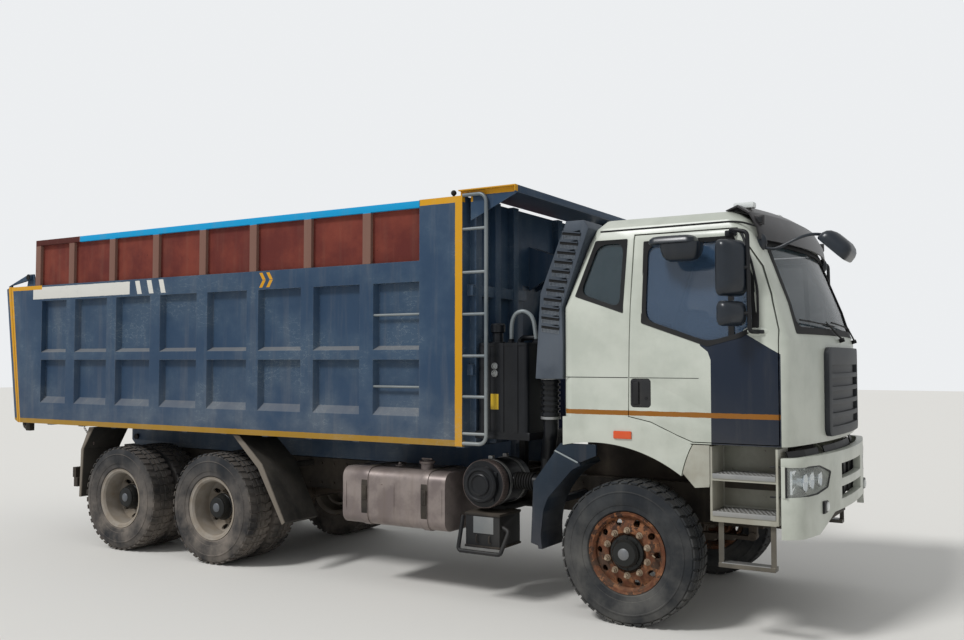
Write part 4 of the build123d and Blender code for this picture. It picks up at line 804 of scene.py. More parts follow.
@dataclass
class Workshop:
    """What every sub-assembly needs: the frame, the finishes and the copying trees."""

    frame: dict
    front_axle: float
    finishes: dict[str, bpy.types.Material]
    repeats: Repeats
    carriers: dict[str, str] = field(default_factory=dict)
    slots: dict[str, str] = field(default_factory=dict)

    def __post_init__(self) -> None:
        """Read which body and slot each node has."""
        record = self.frame["record"]
        for body, nodes in record["behaviour"]["bodies"].items():
            self.carriers.update(dict.fromkeys(nodes, body))
        self.slots.update((row["node"], row["material_slot"]) for row in record["subparts"])

    def box(self, node: str) -> tuple[Vector, Vector]:
        """Low and high corner of a node, in stations."""
        ahead = Vector((self.front_axle, 0, 0))
        return tuple(corner - ahead for corner in map(Vector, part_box(node)))

    def piece(self, name: str, shape: Shape, slot: Slot, finish: str, body: Body | str = Body.CHASSIS,
              replaced: Sequence[str] = (), smooth: float = 35.0) -> None:
        """Turn a shape, built in stations, into a finished piece of the truck.

        Args:
            name: The piece's plain name.
            shape: Its parts.
            slot: Not used.
            finish: Key of its material.
            body: The body that it rides on.
            replaced: Nodes that it stands for.
            smooth: Degrees between faces that are shaded as one.
        """
        mesh = shape.outward().to_mesh(name, smooth)
        mesh.transform(Matrix.Translation((self.front_axle, 0, 0)))
        self.fit(name, mesh, finish, body.value if isinstance(body, Body) else body, replaced)

    def fit(self, name: str, mesh: bpy.types.Mesh, finish: str, body: str,
            replaced: Sequence[str]) -> None:
        """Dress a mesh and put it on its body.

        Args:
            name: The piece's plain name.
            mesh: Its mesh, in the truck's frame.
            finish: Key of its material.
            body: The body that it rides on.
            replaced: Nodes that it stands for.
        """
        mesh.materials.clear()
        mesh.materials.append(self.finishes[finish])
        piece = new_object(name, mesh)
        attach(piece, body)
        if replaced:
            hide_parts(*replaced)
        log.info("%s: %d faces", name, len(mesh.polygons))

    def refine(self, node: str, finish: str, bevel: float) -> None:
        """Replace a node by a copy of itself with rounded edges and smooth curves.

        Args:
            node: The node's name.
            finish: Key of its material.
            bevel: Width of the rounding on its sharp edges.
        """
        shape = Shape()
        mesh = shape.mesh
        mesh.from_mesh(self.frame["nodes"][node].data)
        bmesh.ops.remove_doubles(mesh, verts=mesh.verts, dist=2e-5)
        bmesh.ops.dissolve_limit(mesh, angle_limit=math.radians(0.6), verts=mesh.verts, edges=mesh.edges)
        sharp = [edge for edge in mesh.edges
                 if len(edge.link_faces) == 2 and edge.calc_face_angle(0.0) > math.radians(28)]
        bmesh.ops.bevel(mesh, geom=sharp, offset=bevel, segments=2, profile=0.6, affect="EDGES",
                        clamp_overlap=True)
        name = f"{node}_refined"
        self.fit(name, shape.to_mesh(name, 32.0), finish, self.carriers[node], (node,))


@dataclass
class SubAssembly:
    """Pieces of one part of the truck, made in a workshop."""

    shop: Workshop


@dataclass
class Tyres(SubAssembly):
    """Radial tyres: rounded walls with moulded rings, and a block tread."""

    radius: float = 0.538
    tread_depth: float = 0.014
    half_width: float = 0.156
    bead_radius: float = 0.307
    bead_half: float = 0.122
    lugs: int = 42

    def build(self) -> None:
        """Make every tyre in place of its plain solid."""
        for place, side in WHEELS:
            node = f"tyre_{place}_{side.label}"
            low, high = self.shop.box(node)
            middle = (low + high) / 2
            front = place == "front"
            spread = 0.0 if front else (high.y - low.y) / 2 - self.half_width
            shape = Shape()
            for y in (middle.y,) if front else (middle.y - spread, middle.y + spread):
                self.carcass(shape, (middle.x, y, self.radius))
                self.tread(shape, (middle.x, y, self.radius), front)
            self.shop.piece(f"{node}_moulded", shape, Slot.TYRE, "tyre" if front else "rear_tyre",
                            f"wheel_{place}_{side.label}", (node,), 28)

    def carcass(self, shape: Shape, centre: Point) -> None:
        """Turn the tyre's body with its bead, wall rings and shoulder.

        Args:
            shape: The shape that gets it.
            centre: Middle of the tyre.
        """
        base = self.radius - self.tread_depth
        half, bead = self.half_width, self.bead_radius
        wall = [(self.bead_half, bead), (self.bead_half + 0.016, bead + 0.012), (half - 0.014, bead + 0.045),
                (half - 0.013, bead + 0.05), (half - 0.009, bead + 0.052), (half - 0.003, bead + 0.075),
                (half, bead + 0.105), (half - 0.001, base - 0.085), (half - 0.001, base - 0.078),
                (half + 0.002, base - 0.074), (half + 0.002, base - 0.067), (half - 0.003, base - 0.063),
                (half - 0.01, base - 0.034), (half - 0.019, base - 0.012), (half - 0.034, base)]
        crown = [(half * share, base + 0.003 * (1 - share ** 2)) for share in (0.5, 0.0, -0.5)]
        inside = [(-self.bead_half + 0.02, bead - 0.004), (self.bead_half - 0.02, bead - 0.004)]
        profile = wall + crown + [(-along, radius) for along, radius in reversed(wall)] + inside
        shape.turned(profile, centre, Axis.Y, 80, looped=True)

    def tread(self, shape: Shape, centre: Point, ribbed: bool) -> None:
        """Set rows of blocks round the tread.

        Args:
            shape: The shape that gets them.
            centre: Middle of the tyre.
            ribbed: Whether the shoulders are the front's worn ribs, or the rear's open blocks.
        """
        low = self.radius - self.tread_depth - 0.004
        pitch = 2 * math.pi * self.radius / self.lugs
        # Inner and outer half width, rubber's share of the pitch, skew and outer drop of each row
        rows = ((0.01, 0.052, 0.86, 0.01, 0.001), (0.064, 0.142, 0.74 if ribbed else 0.58, -0.012, 0.006))
        for inner, outer, share, skew, drop in rows:
            half = pitch * share / 2
            foot = ((-half, inner), (half, inner), (half + skew, outer), (-half + skew, outer))
            for side in SIDES:
                block = Shape()
                block.skin([[(x, side * y, low) for x, y in foot],
                            [(x * 0.94, side * (y + (0.002 if y == inner else -0.003)),
                              self.radius - (drop if y == outer else 0.0005)) for x, y in foot]])
                shape.take(self.shop.repeats.ring(block, self.lugs, centre, Axis.Y))


@dataclass
class WheelFittings(SubAssembly):
    """Nuts, hub cover, its cap and the valve on each wheel."""

    height: float = 0.538
    bolt_ring: float = 0.1675
    studs: int = 10
    cover_bolts: float = 0.117
    # Half width where each hub's cover starts, and its profile out from there
    front_cover: tuple[float, Outline] = (1.122, (
        (-0.004, 0.134), (0.008, 0.133), (0.014, 0.128), (0.016, 0.106), (0.046, 0.104), (0.052, 0.099),
        (0.06, 0.096), (0.07, 0.088), (0.074, 0.06), (0.075, POLE)))
    rear_cover: tuple[float, Outline] = (1.065, (
        (-0.004, 0.13), (0.01, 0.129), (0.014, 0.122), (0.058, 0.112), (0.068, 0.102), (0.084, 0.098),
        (0.09, 0.086), (0.091, POLE)))

    def build(self) -> None:
        """Fit every wheel."""
        for place, side in WHEELS:
            self.fit_wheel(place, side, place == "front")

    def fit_wheel(self, place: str, side: Side, front: bool) -> None:
        """Make one wheel's fittings.

        Args:
            place: Which axle it is on.
            side: Its side.
            front: Whether it is a front wheel.
        """
        sign, ring = side.value, self.bolt_ring
        end = f"{place}_{side.label}"
        x, face = self.disc_face(f"rim_{end}", sign)
        nuts, nut, cover, bolt, cap = Shape(), Shape(), Shape(), Shape(), Shape()
        # Nut, stud and washer, each with where it starts and ends across, its radius and its sides
        for start, stop, radius, sides in ((0.0, 0.024, 0.019, 6), (0.01, 0.045, 0.011, 10),
                                           (-0.004, 0.005, 0.026, 14)):
            nut.rod((0, sign * start, ring), (0, sign * stop, ring), radius, sides)
        nuts.take(self.shop.repeats.ring(nut, self.studs, (x, face, self.height), Axis.Y))
        nuts.rod((x + 0.2, face, self.height), (x + 0.235, face + sign * 0.05, self.height), 0.006, 8)
        self.shop.piece(f"nuts_{end}", nuts, Slot.FRONT_RIM if front else Slot.REAR_RIM,
                        "front_nut" if front else "rear_nut", f"wheel_{end}")
        start, profile = self.front_cover if front else self.rear_cover
        middle = (x, sign * start, self.height)
        cover.turned(profile, middle, Axis.Y, 48, facing=sign)
        bolt.rod((0, sign * 0.004, self.cover_bolts), (0, sign * 0.022, self.cover_bolts), 0.009, 6)
        cover.take(self.shop.repeats.ring(bolt, 8, middle, Axis.Y))
        self.shop.piece(f"hub_cover_{end}", cover, Slot.CAST, "hub", f"wheel_{end}")
        tip = profile[-1][0]
        dome = ((tip - 0.004, 0.044), (tip + 0.003, 0.043), (tip + 0.009, 0.034), (tip + 0.011, POLE))
        cap.turned(dome, middle, Axis.Y, 32, facing=sign)
        self.shop.piece(f"hub_cap_{end}", cap, Slot.CAST, "hub_cap", f"wheel_{end}")

    def disc_face(self, node: str, sign: int) -> tuple[float, float]:
        """Find where a wheel's disc faces out, on the node's own faces at the bolt ring.

        Args:
            node: The rim's node.
            sign: Minus one on the right, one on the left.

        Returns:
            The wheel's station and the y of its disc's face.
        """
        low, high = self.shop.box(node)
        x = (low.x + high.x) / 2
        found = [face.center.y for face in self.shop.frame["nodes"][node].data.polygons
                 if face.normal.y * sign >= 0.95
                 and 0.15 < math.hypot(face.center.x - self.shop.front_axle - x,
                                       face.center.z - self.height) < 0.2]
        return x, max(found, key=lambda y: sign * y)


def curve(enter: Vector, corner: Vector, leave: Vector, steps: int) -> list[Vector]:
    """Points of a short curve that takes a corner's place."""
    return [(1 - share) ** 2 * enter + 2 * share * (1 - share) * corner + share ** 2 * leave
            for share in (step / steps for step in range(steps + 1))]


def inset_outline(points: Outline, distance: float) -> list[Vector]:
    """Move a closed outline in towards its middle by a distance on every side.

    Args:
        points: Its corners in order.
        distance: How far each side moves in, or out where negative.

    Returns:
        The moved corners.
    """
    corners = [Vector(point) for point in points]
    centre = sum(corners, Vector((0.0, 0.0))) / len(corners)
    moved = []
    for before, corner, after in zip(corners[-1:] + corners, corners, corners[1:] + corners[:1]):
        normals = []
        for along in ((corner - before).normalized(), (after - corner).normalized()):
            normal = Vector((-along.y, along.x))
            normals.append(normal if normal.dot(centre - corner) > 0 else -normal)
        half = (normals[0] + normals[1]).normalized()
        moved.append(corner + half * distance / max(0.35, half.dot(normals[0])))
    return moved


def divided(points: Sequence[Vector], guide: Sequence[Vector], longest: float) -> list[Vector]:
    """Add points on a closed outline's long sides.

    Args:
        points: The outline.
        guide: An outline of as many points, whose sides say how many are added.
        longest: Length of the guide that a side may keep.

    Returns:
        The divided outline.
    """
    route = []
    for place, point in enumerate(points):
        after = (place + 1) % len(points)
        steps = max(1, round((guide[after] - guide[place]).length / longest))
        route += [point.lerp(points[after], step / steps) for step in range(steps)]
    return route


def rounded_outline(points: Outline, radius: float, steps: int = 5) -> list[Vector]:
    """Round the corners of a closed outline.

    Args:
        points: The sharp corners in order.
        radius: Length of each side that a corner takes up.
        steps: Straight pieces in each corner.

    Returns:
        The rounded outline's points.
    """
    corners = [Vector(point) for point in points]
    rounded = []
    for place, corner in enumerate(corners):
        before = corners[place - 1] - corner
        after = corners[(place + 1) % len(corners)] - corner
        rounded += curve(corner + before.normalized() * min(radius, before.length * 0.4), corner,
                         corner + after.normalized() * min(radius, after.length * 0.4), steps)
    return rounded


def rounded_box(low: Point, high: Point, corner: float, grow: float = 0.0) -> list[Vector]:
    """Rounded rectangle between two corners, grown outwards by a distance."""
    (x0, y0), (x1, y1) = low, high
    return rounded_outline(((x0 - grow, y0 - grow), (x1 + grow, y0 - grow), (x1 + grow, y1 + grow),
                            (x0 - grow, y1 + grow)), corner + grow, 6)


def centred_box(width: float, height: float, inset: float, corner: float) -> list[Vector]:
    """Rounded rectangle about the origin, moved in by a distance."""
    across, up = width / 2 - inset, height / 2 - inset
    return rounded_box((-across, -up), (across, up), corner)


@dataclass
class CabTrim(SubAssembly):
    """Window rubbers, wipers, lamps, handles, the roof gutter and a painted shade line on the cab and its
    doors.
    """

    half: float = 1.236
    pane_corner: float = 0.075
    # Height and half width of the cab's outer skin
    skin_levels: Outline = ((1.385, 1.236), (2.11, 1.236), (2.385, 1.222), (2.885, 1.158), (2.99, 1.118),
                            (3.062, 1.01))
    # Height, station and crown radius of the windscreen's outer face
    screen_levels: Outline = ((2.11, 1.352, 5.0), (2.385, 1.272, 5.0), (2.885, 1.09, 4.1), (2.99, 1.03, 4.1))
    door_window: Outline = ((0.167, 2.861), (0.168, 2.255), (0.664, 2.08), (0.9, 2.14), (1.02, 2.2),
                            (0.985, 2.56), (0.835, 2.861))
    quarter_window: Outline = ((-0.225, 2.89), (0.03, 2.89), (0.016, 2.335), (-0.375, 2.47))
    windscreen: Outline = ((-1.014, 2.165), (1.014, 2.165), (0.954, 2.85), (-0.954, 2.85))
    windscreen_pane: Outline = ((-0.958, 2.215), (0.958, 2.215), (0.902, 2.815), (-0.902, 2.815))

    def build(self) -> None:
        """Make all of the cab's trim."""
        for side in Side:
            self.window_rubbers(side)
        self.windscreen_rubber()
        self.wipers()
        self.small_lamps()
        self.seams()
        for side in Side:
            self.door_furniture(side)

    def skin_y(self, z: float) -> float:
        """Find the half width of the cab's skin, ahead of the rounding at its corners.

        Args:
            z: Height.

        Returns:
            The half width there.
        """
        for (z0, y0), (z1, y1) in zip(self.skin_levels, self.skin_levels[1:]):
            if z <= z1:
                return y0 + (y1 - y0) * max(0.0, z - z0) / (z1 - z0)
        return self.skin_levels[-1][1]

    def screen_x(self, y: float, z: float) -> float:
        """Find the windscreen's outer face.

        Args:
            y: Place across.
            z: Height.

        Returns:
            The station there.
        """
        levels = self.screen_levels
        (z0, x0, r0), (z1, x1, r1) = next(pair for pair in zip(levels, levels[1:])
                                          if z <= pair[1][0] or pair[1] == levels[-1])
        share = (z - z0) / (z1 - z0)
        crown = r0 + (r1 - r0) * share
        return x0 + (x1 - x0) * share - (crown - math.sqrt(crown ** 2 - y ** 2))

    def frame_window(self, shape: Shape, outline: Outline, side: int, width: float) -> None:
        """Add a rubber frame round a side window's opening.

        Args:
            shape: The shape that gets it.
            outline: The opening's corners, as station and height.
            side: Minus one on the right, one on the left.
            width: How far the rubber reaches over the pane.
        """
        outer = rounded_outline(inset_outline(outline, -0.004), 0.012)
        inner = rounded_outline(inset_outline(outline, width), self.pane_corner)
        # How far each corner of the rubber's section stands out of the skin
        proud, sunk, lip = 0.004, -0.024, -0.002
        shape.skin([[(point.x, side * (self.skin_y(point.y) + push), point.y)
                     for point, push in ((outward, proud), (outward, sunk), (inward, sunk), (inward, lip))]
                    for outward, inward in zip(outer, inner)], capped=False, looped=True)

    def window_rubbers(self, side: Side) -> None:
        """Make the black rubbers of one side's windows, with the door window's post.

        Args:
            side: The side.
        """
        rubber, seal = Shape(), Shape()
        self.frame_window(rubber, self.door_window, side.value, 0.03)
        foot, head = 2.125, 2.85
        foot_y, head_y = self.skin_y(foot) - 0.022, self.skin_y(head) - 0.022
        rubber.slab(sided(side.value, (0.815, foot_y, foot), (0.855, foot_y, foot), (0.835, head_y, head),
                          (0.795, head_y, head)), 0.018, (0, side.value, 0))
        self.shop.piece(f"door_rubber_{side.label}", rubber, Slot.BLACK, "rubber", side.door)
        self.frame_window(seal, self.quarter_window, side.value, 0.028)
        self.shop.piece(f"quarter_rubber_{side.label}", seal, Slot.BLACK, "rubber", Body.CAB)

    def windscreen_rubber(self) -> None:
        """Rubber that follows the windscreen's bend."""
        rubber = Shape()
        outer, inner = rounded_outline(self.windscreen, 0.02), rounded_outline(self.windscreen_pane, 0.09)
        rings = [[(*outward, 0.004), (*outward, -0.024), (*inward, -0.024), (*inward, -0.001)]
                 for outward, inward in zip(divided(outer, outer, 0.1), divided(inner, outer, 0.1))]
        rubber.skin([[(self.screen_x(y, z) + push, y, z) for y, z, push in ring] for ring in rings],
                    capped=False, looped=True)
        self.shop.piece("windscreen_rubber", rubber, Slot.BLACK, "rubber", Body.CAB)

    def wipers(self) -> None:
        """Two wipers, each a spindle, an arm and a blade that follows the glass."""
        wiper = Shape()
        for pivot_y, tip_y in ((0.62, -0.12), (-0.1, -0.8)):
            base = Vector((self.screen_x(pivot_y, 2.15) + 0.03, pivot_y, 2.135))
            middle_y = (pivot_y + tip_y) / 2
            wiper.rod(base + Vector((-0.03, 0, -0.01)), base + Vector((0.012, 0, 0.004)), 0.016, 12)
            wiper.rod(base, (self.screen_x(middle_y, 2.26) + 0.03, middle_y, 2.262), 0.008, 8, tip=0.005)
            start_y, end_y = pivot_y - 0.1, tip_y - 0.12
            blade = [(start_y + (end_y - start_y) * share, 2.235 + 0.03 * share)
                     for share in (step / 8 for step in range(9))]
            wiper.tube([(self.screen_x(y, z) + 0.014, y, z) for y, z in blade], 0.007, 0.02, 6)
        self.shop.piece("wipers", wiper, Slot.BLACK, "rubber", Body.CAB)

    def small_lamps(self) -> None:
        """Side repeaters and roof marker lamps."""
        orange, white = Shape(), Shape()
        for side in SIDES:
            orange.boxes((-0.055, 0.088, self.half - 0.004, self.half + 0.014, 1.396, 1.455, 0.008),
                         side=side)
            white.boxes((0.782, 0.932, 0.89, 0.97, 3.085, 3.128, 0.012), side=side)
        for y in (-0.3, 0.0, 0.3):
            white.boxes((0.885, 0.965, y - 0.05, y + 0.05, 3.068, 3.112, 0.012))
        self.shop.piece("side_repeaters", orange, Slot.LENS, "amber_lens", Body.CAB)
        self.shop.piece("roof_markers", white, Slot.LENS, "white_lens", Body.CAB)

    def seams(self) -> None:
        """Thin black strips painted as the shade of a pressed line along the cab's side, level with the
        door's, and the roof gutter over the door.
        """
        black = Shape()
        inner, outer = self.half - 0.0025, self.half + 0.0015
        for side in SIDES:
            # Black strips painted as the shade in the pressed line
            black.boxes((-0.476, 0.06, inner, outer, 1.848, 1.853, 0),
                        (0.075, 0.6, inner, outer, 1.848, 1.852, 0), side=side)
            black.tube(sided(side, (-0.2, 1.128, 2.965), (0.3, 1.128, 2.968), (0.86, 1.126, 2.972),
                             (0.98, 1.1, 2.93)), 0.007, 0.1, 8)
        self.shop.piece("cab_seams", black, Slot.BLACK, "rubber", Body.CAB)

    def door_furniture(self, side: Side) -> None:
        """Make a door's pull handle in its dark cup, the lock barrel and the mirrors' foot.

        Args:
            side: The door's side.
        """
        y, sign = self.half, side.value
        cup, pull, foot = Shape(), Shape(), Shape()
        cup.boxes((0.081, 0.238, y - 0.03, y + 0.003, 1.632, 1.843, 0.018), side=sign)
        self.shop.piece(f"handle_cup_{side.label}", cup, Slot.BLACK, "gloss_black", side.door)
        pull.boxes((0.1, 0.15, y, y + 0.016, 1.65, 1.825, 0.012), side=sign)
        pull.rod(*sided(sign, (0.205, y, 1.7), (0.205, y + 0.008, 1.7)), 0.012)
        self.shop.piece(f"door_pull_{side.label}", pull, Slot.BLACK, "black_plastic", side.door)
        foot.ball((1.02, sign * 1.205, 2.175), 0.09, (1.25, 0.42, 0.5))
        self.shop.piece(f"mirror_foot_{side.label}", foot, Slot.CAB, "cab_plain", side.door)


@dataclass
class Mirrors(SubAssembly):
    """Turned mirror heads on their bars, the kerb mirror over the right window and the front mirror."""

    station: float = 0.89
    half: float = 1.385
    turn: float = math.radians(33)
    # Middle height, width and height of each main head
    heads: Outline = ((2.3, 0.225, 0.176), (2.614, 0.24, 0.392))
    # Share of the depth and inset of each ring of a housing, from its glass to its crown
    bulge: Outline = ((0.0, 0.005), (0.08, 0.0), (0.45, 0.003), (0.7, 0.014), (0.88, 0.034), (1.0, 0.066))
    depth: float = 0.092
    corner: float = 0.055
    rim: float = 0.012

    def build(self) -> None:
        """Make both sides' mirrors and the front mirror."""
        for side in Side:
            self.main_pair(side)
        self.front_mirror()

    def head(self, shell: Shape, glass: Shape, centre: Vector, out: Vector, up: Vector, size: Point) -> None:
        """Add one rounded housing and its glass.

        Args:
            shell: The shape that gets the housing.
            glass: The shape that gets the glass.
            centre: Middle of the housing's open side.
            out: The way that its crown bulges.
            up: Its height's direction.
            size: Width, height and depth.
        """
        width, height, depth = size
        shell.loft([(centred_box(width, height, inset, max(0.02, self.corner - inset * 0.3)), depth * share)
                    for share, inset in self.bulge], centre, up, out)
        pane = centred_box(width, height, self.rim, self.corner - self.rim)
        glass.loft([(pane, -0.0025), (pane, 0.004)], centre, up, out)

    def main_pair(self, side: Side) -> None:
        """Make the tall and the small head of one door, with their bars and feet.

        Args:
            side: The door's side.
        """
        sign = side.value
        shell, glass, bars = Shape(), Shape(), Shape()
        out = Vector((math.cos(self.turn), sign * math.sin(self.turn), 0.0))
        for middle, width, height in self.heads:
            centre = Vector((self.station, sign * self.half, middle)) - out * 0.035
            self.head(shell, glass, centre, out, UP, (width, height, self.depth))
            bars.rod(*sided(sign, (0.992, 1.34, middle), (self.station + 0.02, 1.38, middle)), 0.012, 12)
        bars.tube(sided(sign, (0.8, 1.1, 2.88), (0.87, 1.325, 2.886), (0.985, 1.335, 2.862),
                        (0.995, 1.338, 2.175), (1.06, 1.15, 2.175)), 0.015, 0.035)
        bars.tube(sided(sign, (0.89, 1.14, 2.89), (0.985, 1.215, 2.64), (1.02, 1.225, 2.48),
                        (1.025, 1.225, 2.18)), 0.009)
        bars.boxes((0.78, 0.862, 1.09, 1.18, 2.862, 2.902, 0.008),
                   (0.985, 1.068, 1.175, 1.255, 2.162, 2.188, 0.006), side=sign)
        if side is Side.RIGHT:
            self.kerb_mirror(shell, bars)
        self.shop.piece(f"mirror_housings_{side.label}", shell, Slot.BLACK, "mirror_shell", side.door,
                        (f"mirrors_{side.label}",), 40)
        self.shop.piece(f"mirror_bars_{side.label}", bars, Slot.BLACK, "black_plastic", side.door)
        self.shop.piece(f"mirror_glass_{side.label}", glass, Slot.ROD, "mirror", side.door)

    def kerb_mirror(self, shell: Shape, bars: Shape) -> None:
        """Add the flat hood with a rounded bowl under it, held over the right window.

        Args:
            shell: The shape that gets the hood and the bowl.
            bars: The shape that gets its arm.
        """
        # Station, height, length, width and way out of each shell, and its rings' distance and inset
        hood = (0.455, 2.804, 0.34, 0.18, 1,
                ((0.0, 0.012), (0.01, 0.0), (0.04, 0.004), (0.056, 0.02), (0.064, 0.05)))
        bowl = (0.515, 2.812, 0.3, 0.16, -1,
                ((0.0, 0.0), (0.05, 0.004), (0.09, 0.016), (0.116, 0.036), (0.13, 0.068)))
        for x, z, length, width, way, profile in (hood, bowl):
            rings = [(centred_box(length, width, inset, self.corner), along) for along, inset in profile]
            shell.loft(rings, Vector((x, -1.325, z)), Vector((0, 1, 0)), UP * way)
        bars.rod((0.425, -1.12, 2.862), (0.44, -1.32, 2.84), 0.012, 12)
        bars.boxes((0.395, 0.455, -1.175, -1.13, 2.846, 2.878, 0.006))

    def front_mirror(self) -> None:
        """Tilted mirror that looks down ahead of the bumper, on a bent arm, and the two lamp pods."""
        shell, glass = Shape(), Shape()
        out = Vector((0.68, 0.0, 0.73)).normalized()
        up = Vector((-0.73, 0.0, 0.68)).normalized()
        self.head(shell, glass, Vector((1.462, -0.87, 2.748)), out, up, (0.3, 0.25, 0.112))
        shell.tube([(0.985, -1.02, 2.79), (1.087, -1.01, 2.762), (1.257, -0.97, 2.848), (1.34, -0.94, 2.868),
                    (1.44, -0.89, 2.855), (1.478, -0.87, 2.79)], 0.011, 0.06)
        for side in SIDES:
            shell.ball((1.0, side * 1.02, 2.822), 0.055, (0.72, 0.55, 1.12))
        self.shop.piece("front_mirror_housing", shell, Slot.BLACK, "mirror_shell", Body.CAB, ("cab_mirrors",),
                        40)
        self.shop.piece("front_mirror_glass", glass, Slot.ROD, "mirror", Body.CAB)


@dataclass
class FuelTankTrim(SubAssembly):
    """Strap linings, end seams, filler cap, gauge sender and drain plug."""

    low: Point = (-1.215, 0.55)
    high: Point = (-0.6, 1.04)
    corner: float = 0.15
    straps: Point = (-2.41, -1.78)
    seams: Point = (-2.62, -1.61, -2.1)
    cap_place: Point = (-1.9, -1.0)

    def hoop(self, shape: Shape, middle: float, half: float, outside: float, inside: float) -> None:
        """Add a band round the tank.

        Args:
            shape: The shape that gets it.
            middle: Its station.
            half: Half its width.
            outside: How far its outside stands off the tank.
            inside: How far its inside does.
        """
        shape.band(rounded_box(self.low, self.high, self.corner, outside),
                   rounded_box(self.low, self.high, self.corner, inside), middle - half, middle + half,
                   Axis.X)

    def build(self) -> None:
        """Make the tank's trim."""
        dark, fittings = Shape(), Shape()
        for middle in self.straps:
            self.hoop(dark, middle, 0.031, 0.0125, 0.004)
            for z in (0.8, 0.86):
                dark.rod((middle, -1.225, z), (middle, -1.24, z), 0.011, 6)
            dark.boxes((middle - 0.025, middle + 0.025, -1.236, -1.226, 0.77, 0.89, 0.003))
        self.shop.piece("fuel_tank_straps", dark, Slot.BLACK, "chassis")
        for middle in self.seams:
            self.hoop(fittings, middle, 0.005, 0.0035, -0.004)
        x, y = self.cap_place
        top, bottom = self.high[1], self.low[1]
        fittings.turned(((0.045, 0.058), (0.05, 0.068), (0.066, 0.07), (0.072, 0.064), (0.074, 0.04),
                         (0.082, 0.036), (0.084, POLE)), (x, y, top), Axis.Z, 36)
        fittings.boxes((x - 0.055, x + 0.055, y - 0.008, y + 0.008, top + 0.08, top + 0.094, 0.004))
        fittings.turned(((-0.004, 0.05), (0.008, 0.05), (0.012, 0.046), (0.012, 0.018), (0.03, 0.014),
                         (0.032, POLE)), (-2.26, -0.9, top), Axis.Z, 28)
        fittings.rod((-2.1, -0.9, bottom - 0.02), (-2.1, -0.9, bottom + 0.01), 0.022, 6)
        self.shop.piece("fuel_tank_fittings", fittings, Slot.FUEL_TANK, "fuel_tank")


@dataclass
class OilTankTrim(SubAssembly):
    """Level sights, a blank label, the breather and the bent return pipes on the oil tank."""

    face: float = -1.15
    top: float = 2.12
    sight_station: float = -1.132
    sight_heights: Point = (1.931, 1.872)
    # Low and high corner of the tank's top flange, as station and y
    flange: Outline = ((-1.3, -1.15), (-0.835, -0.56))

    def build(self) -> None:
        """Make the tank's trim."""
        rims, panes, label, arch = Shape(), Shape(), Shape(), Shape()
        for z in self.sight_heights:
            ring = ((-0.002, 0.029), (0.01, 0.029), (0.014, 0.025), (0.014, 0.019), (0.008, 0.018),
                    (0.006, POLE))
            rims.turned(ring, (self.sight_station, self.face, z), Axis.Y, 28, facing=-1)
            panes.ball((self.sight_station, self.face - 0.009, z), 0.0185, (1, 0.35, 1))
        self.shop.piece("oil_sight_rims", rims, Slot.ROD, "bare_steel")
        self.shop.piece("oil_sight_panes", panes, Slot.LENS, "lens")
        label.boxes((-1.172, -1.098, self.face - 0.0018, self.face + 0.001, 1.58, 1.706, 0.0008))
        self.shop.piece("oil_tank_label", label, Slot.TANK, "yellow_label")
        top = self.top
        arch.tube([(-1.07, -0.985, top - 0.01), (-1.07, -0.985, top + 0.17), (-1.03, -0.985, top + 0.25),
                   (-0.95, -0.975, top + 0.268), (-0.88, -0.955, top + 0.21), (-0.862, -0.93, top - 0.01)],
                  0.017, 0.07)
        self.shop.piece("arched_return_pipe", arch, Slot.ROD, "grey_pipe")
        self.fittings()

    def fittings(self) -> None:
        """Short pipes, their unions, the breather, lifting eyes and the welded flange on the tank's top."""
        dark, top = Shape(), self.top
        dark.tube([(-1.05, -0.86, top - 0.02), (-1.05, -0.86, top + 0.045), (-0.88, -0.86, top + 0.045),
                   (-0.8, -0.86, top + 0.03), (-0.8, -0.86, top - 0.3)], 0.022, 0.04)
        dark.tube([(-0.98, -0.74, top - 0.02), (-0.98, -0.74, top + 0.06), (-0.8, -0.74, top + 0.06),
                   (-0.8, -0.7, top - 0.35)], 0.018)
        for x, y in ((-1.07, -0.985), (-0.862, -0.93), (-1.05, -0.86), (-0.98, -0.74)):
            dark.turned(((-0.004, 0.04), (0.01, 0.04), (0.012, 0.028), (0.034, 0.028), (0.036, 0.018)),
                        (x, y, top), Axis.Z, 6)
        dark.turned(((-0.004, 0.066), (0.012, 0.066), (0.014, 0.036), (0.085, 0.036), (0.092, 0.06),
                     (0.15, 0.062), (0.162, 0.052), (0.166, 0.02), (0.166, POLE)), (-1.19, -1.0, top),
                    Axis.Z, 32)
        dark.boxes((-0.99, -0.88, -0.7, -0.6, top - 0.004, top + 0.07, 0.008),
                   (-1.282, -1.258, -0.64, -0.6, top - 0.004, top + 0.05, 0.004),
                   (-0.877, -0.853, -0.64, -0.6, top - 0.004, top + 0.05, 0.004))
        dark.band(rounded_box(*self.flange, 0.06, 0.006), rounded_box(*self.flange, 0.06, -0.02), top - 0.024,
                  top - 0.012, Axis.Z)
        self.shop.piece("oil_tank_fittings", dark, Slot.TANK, "tank")


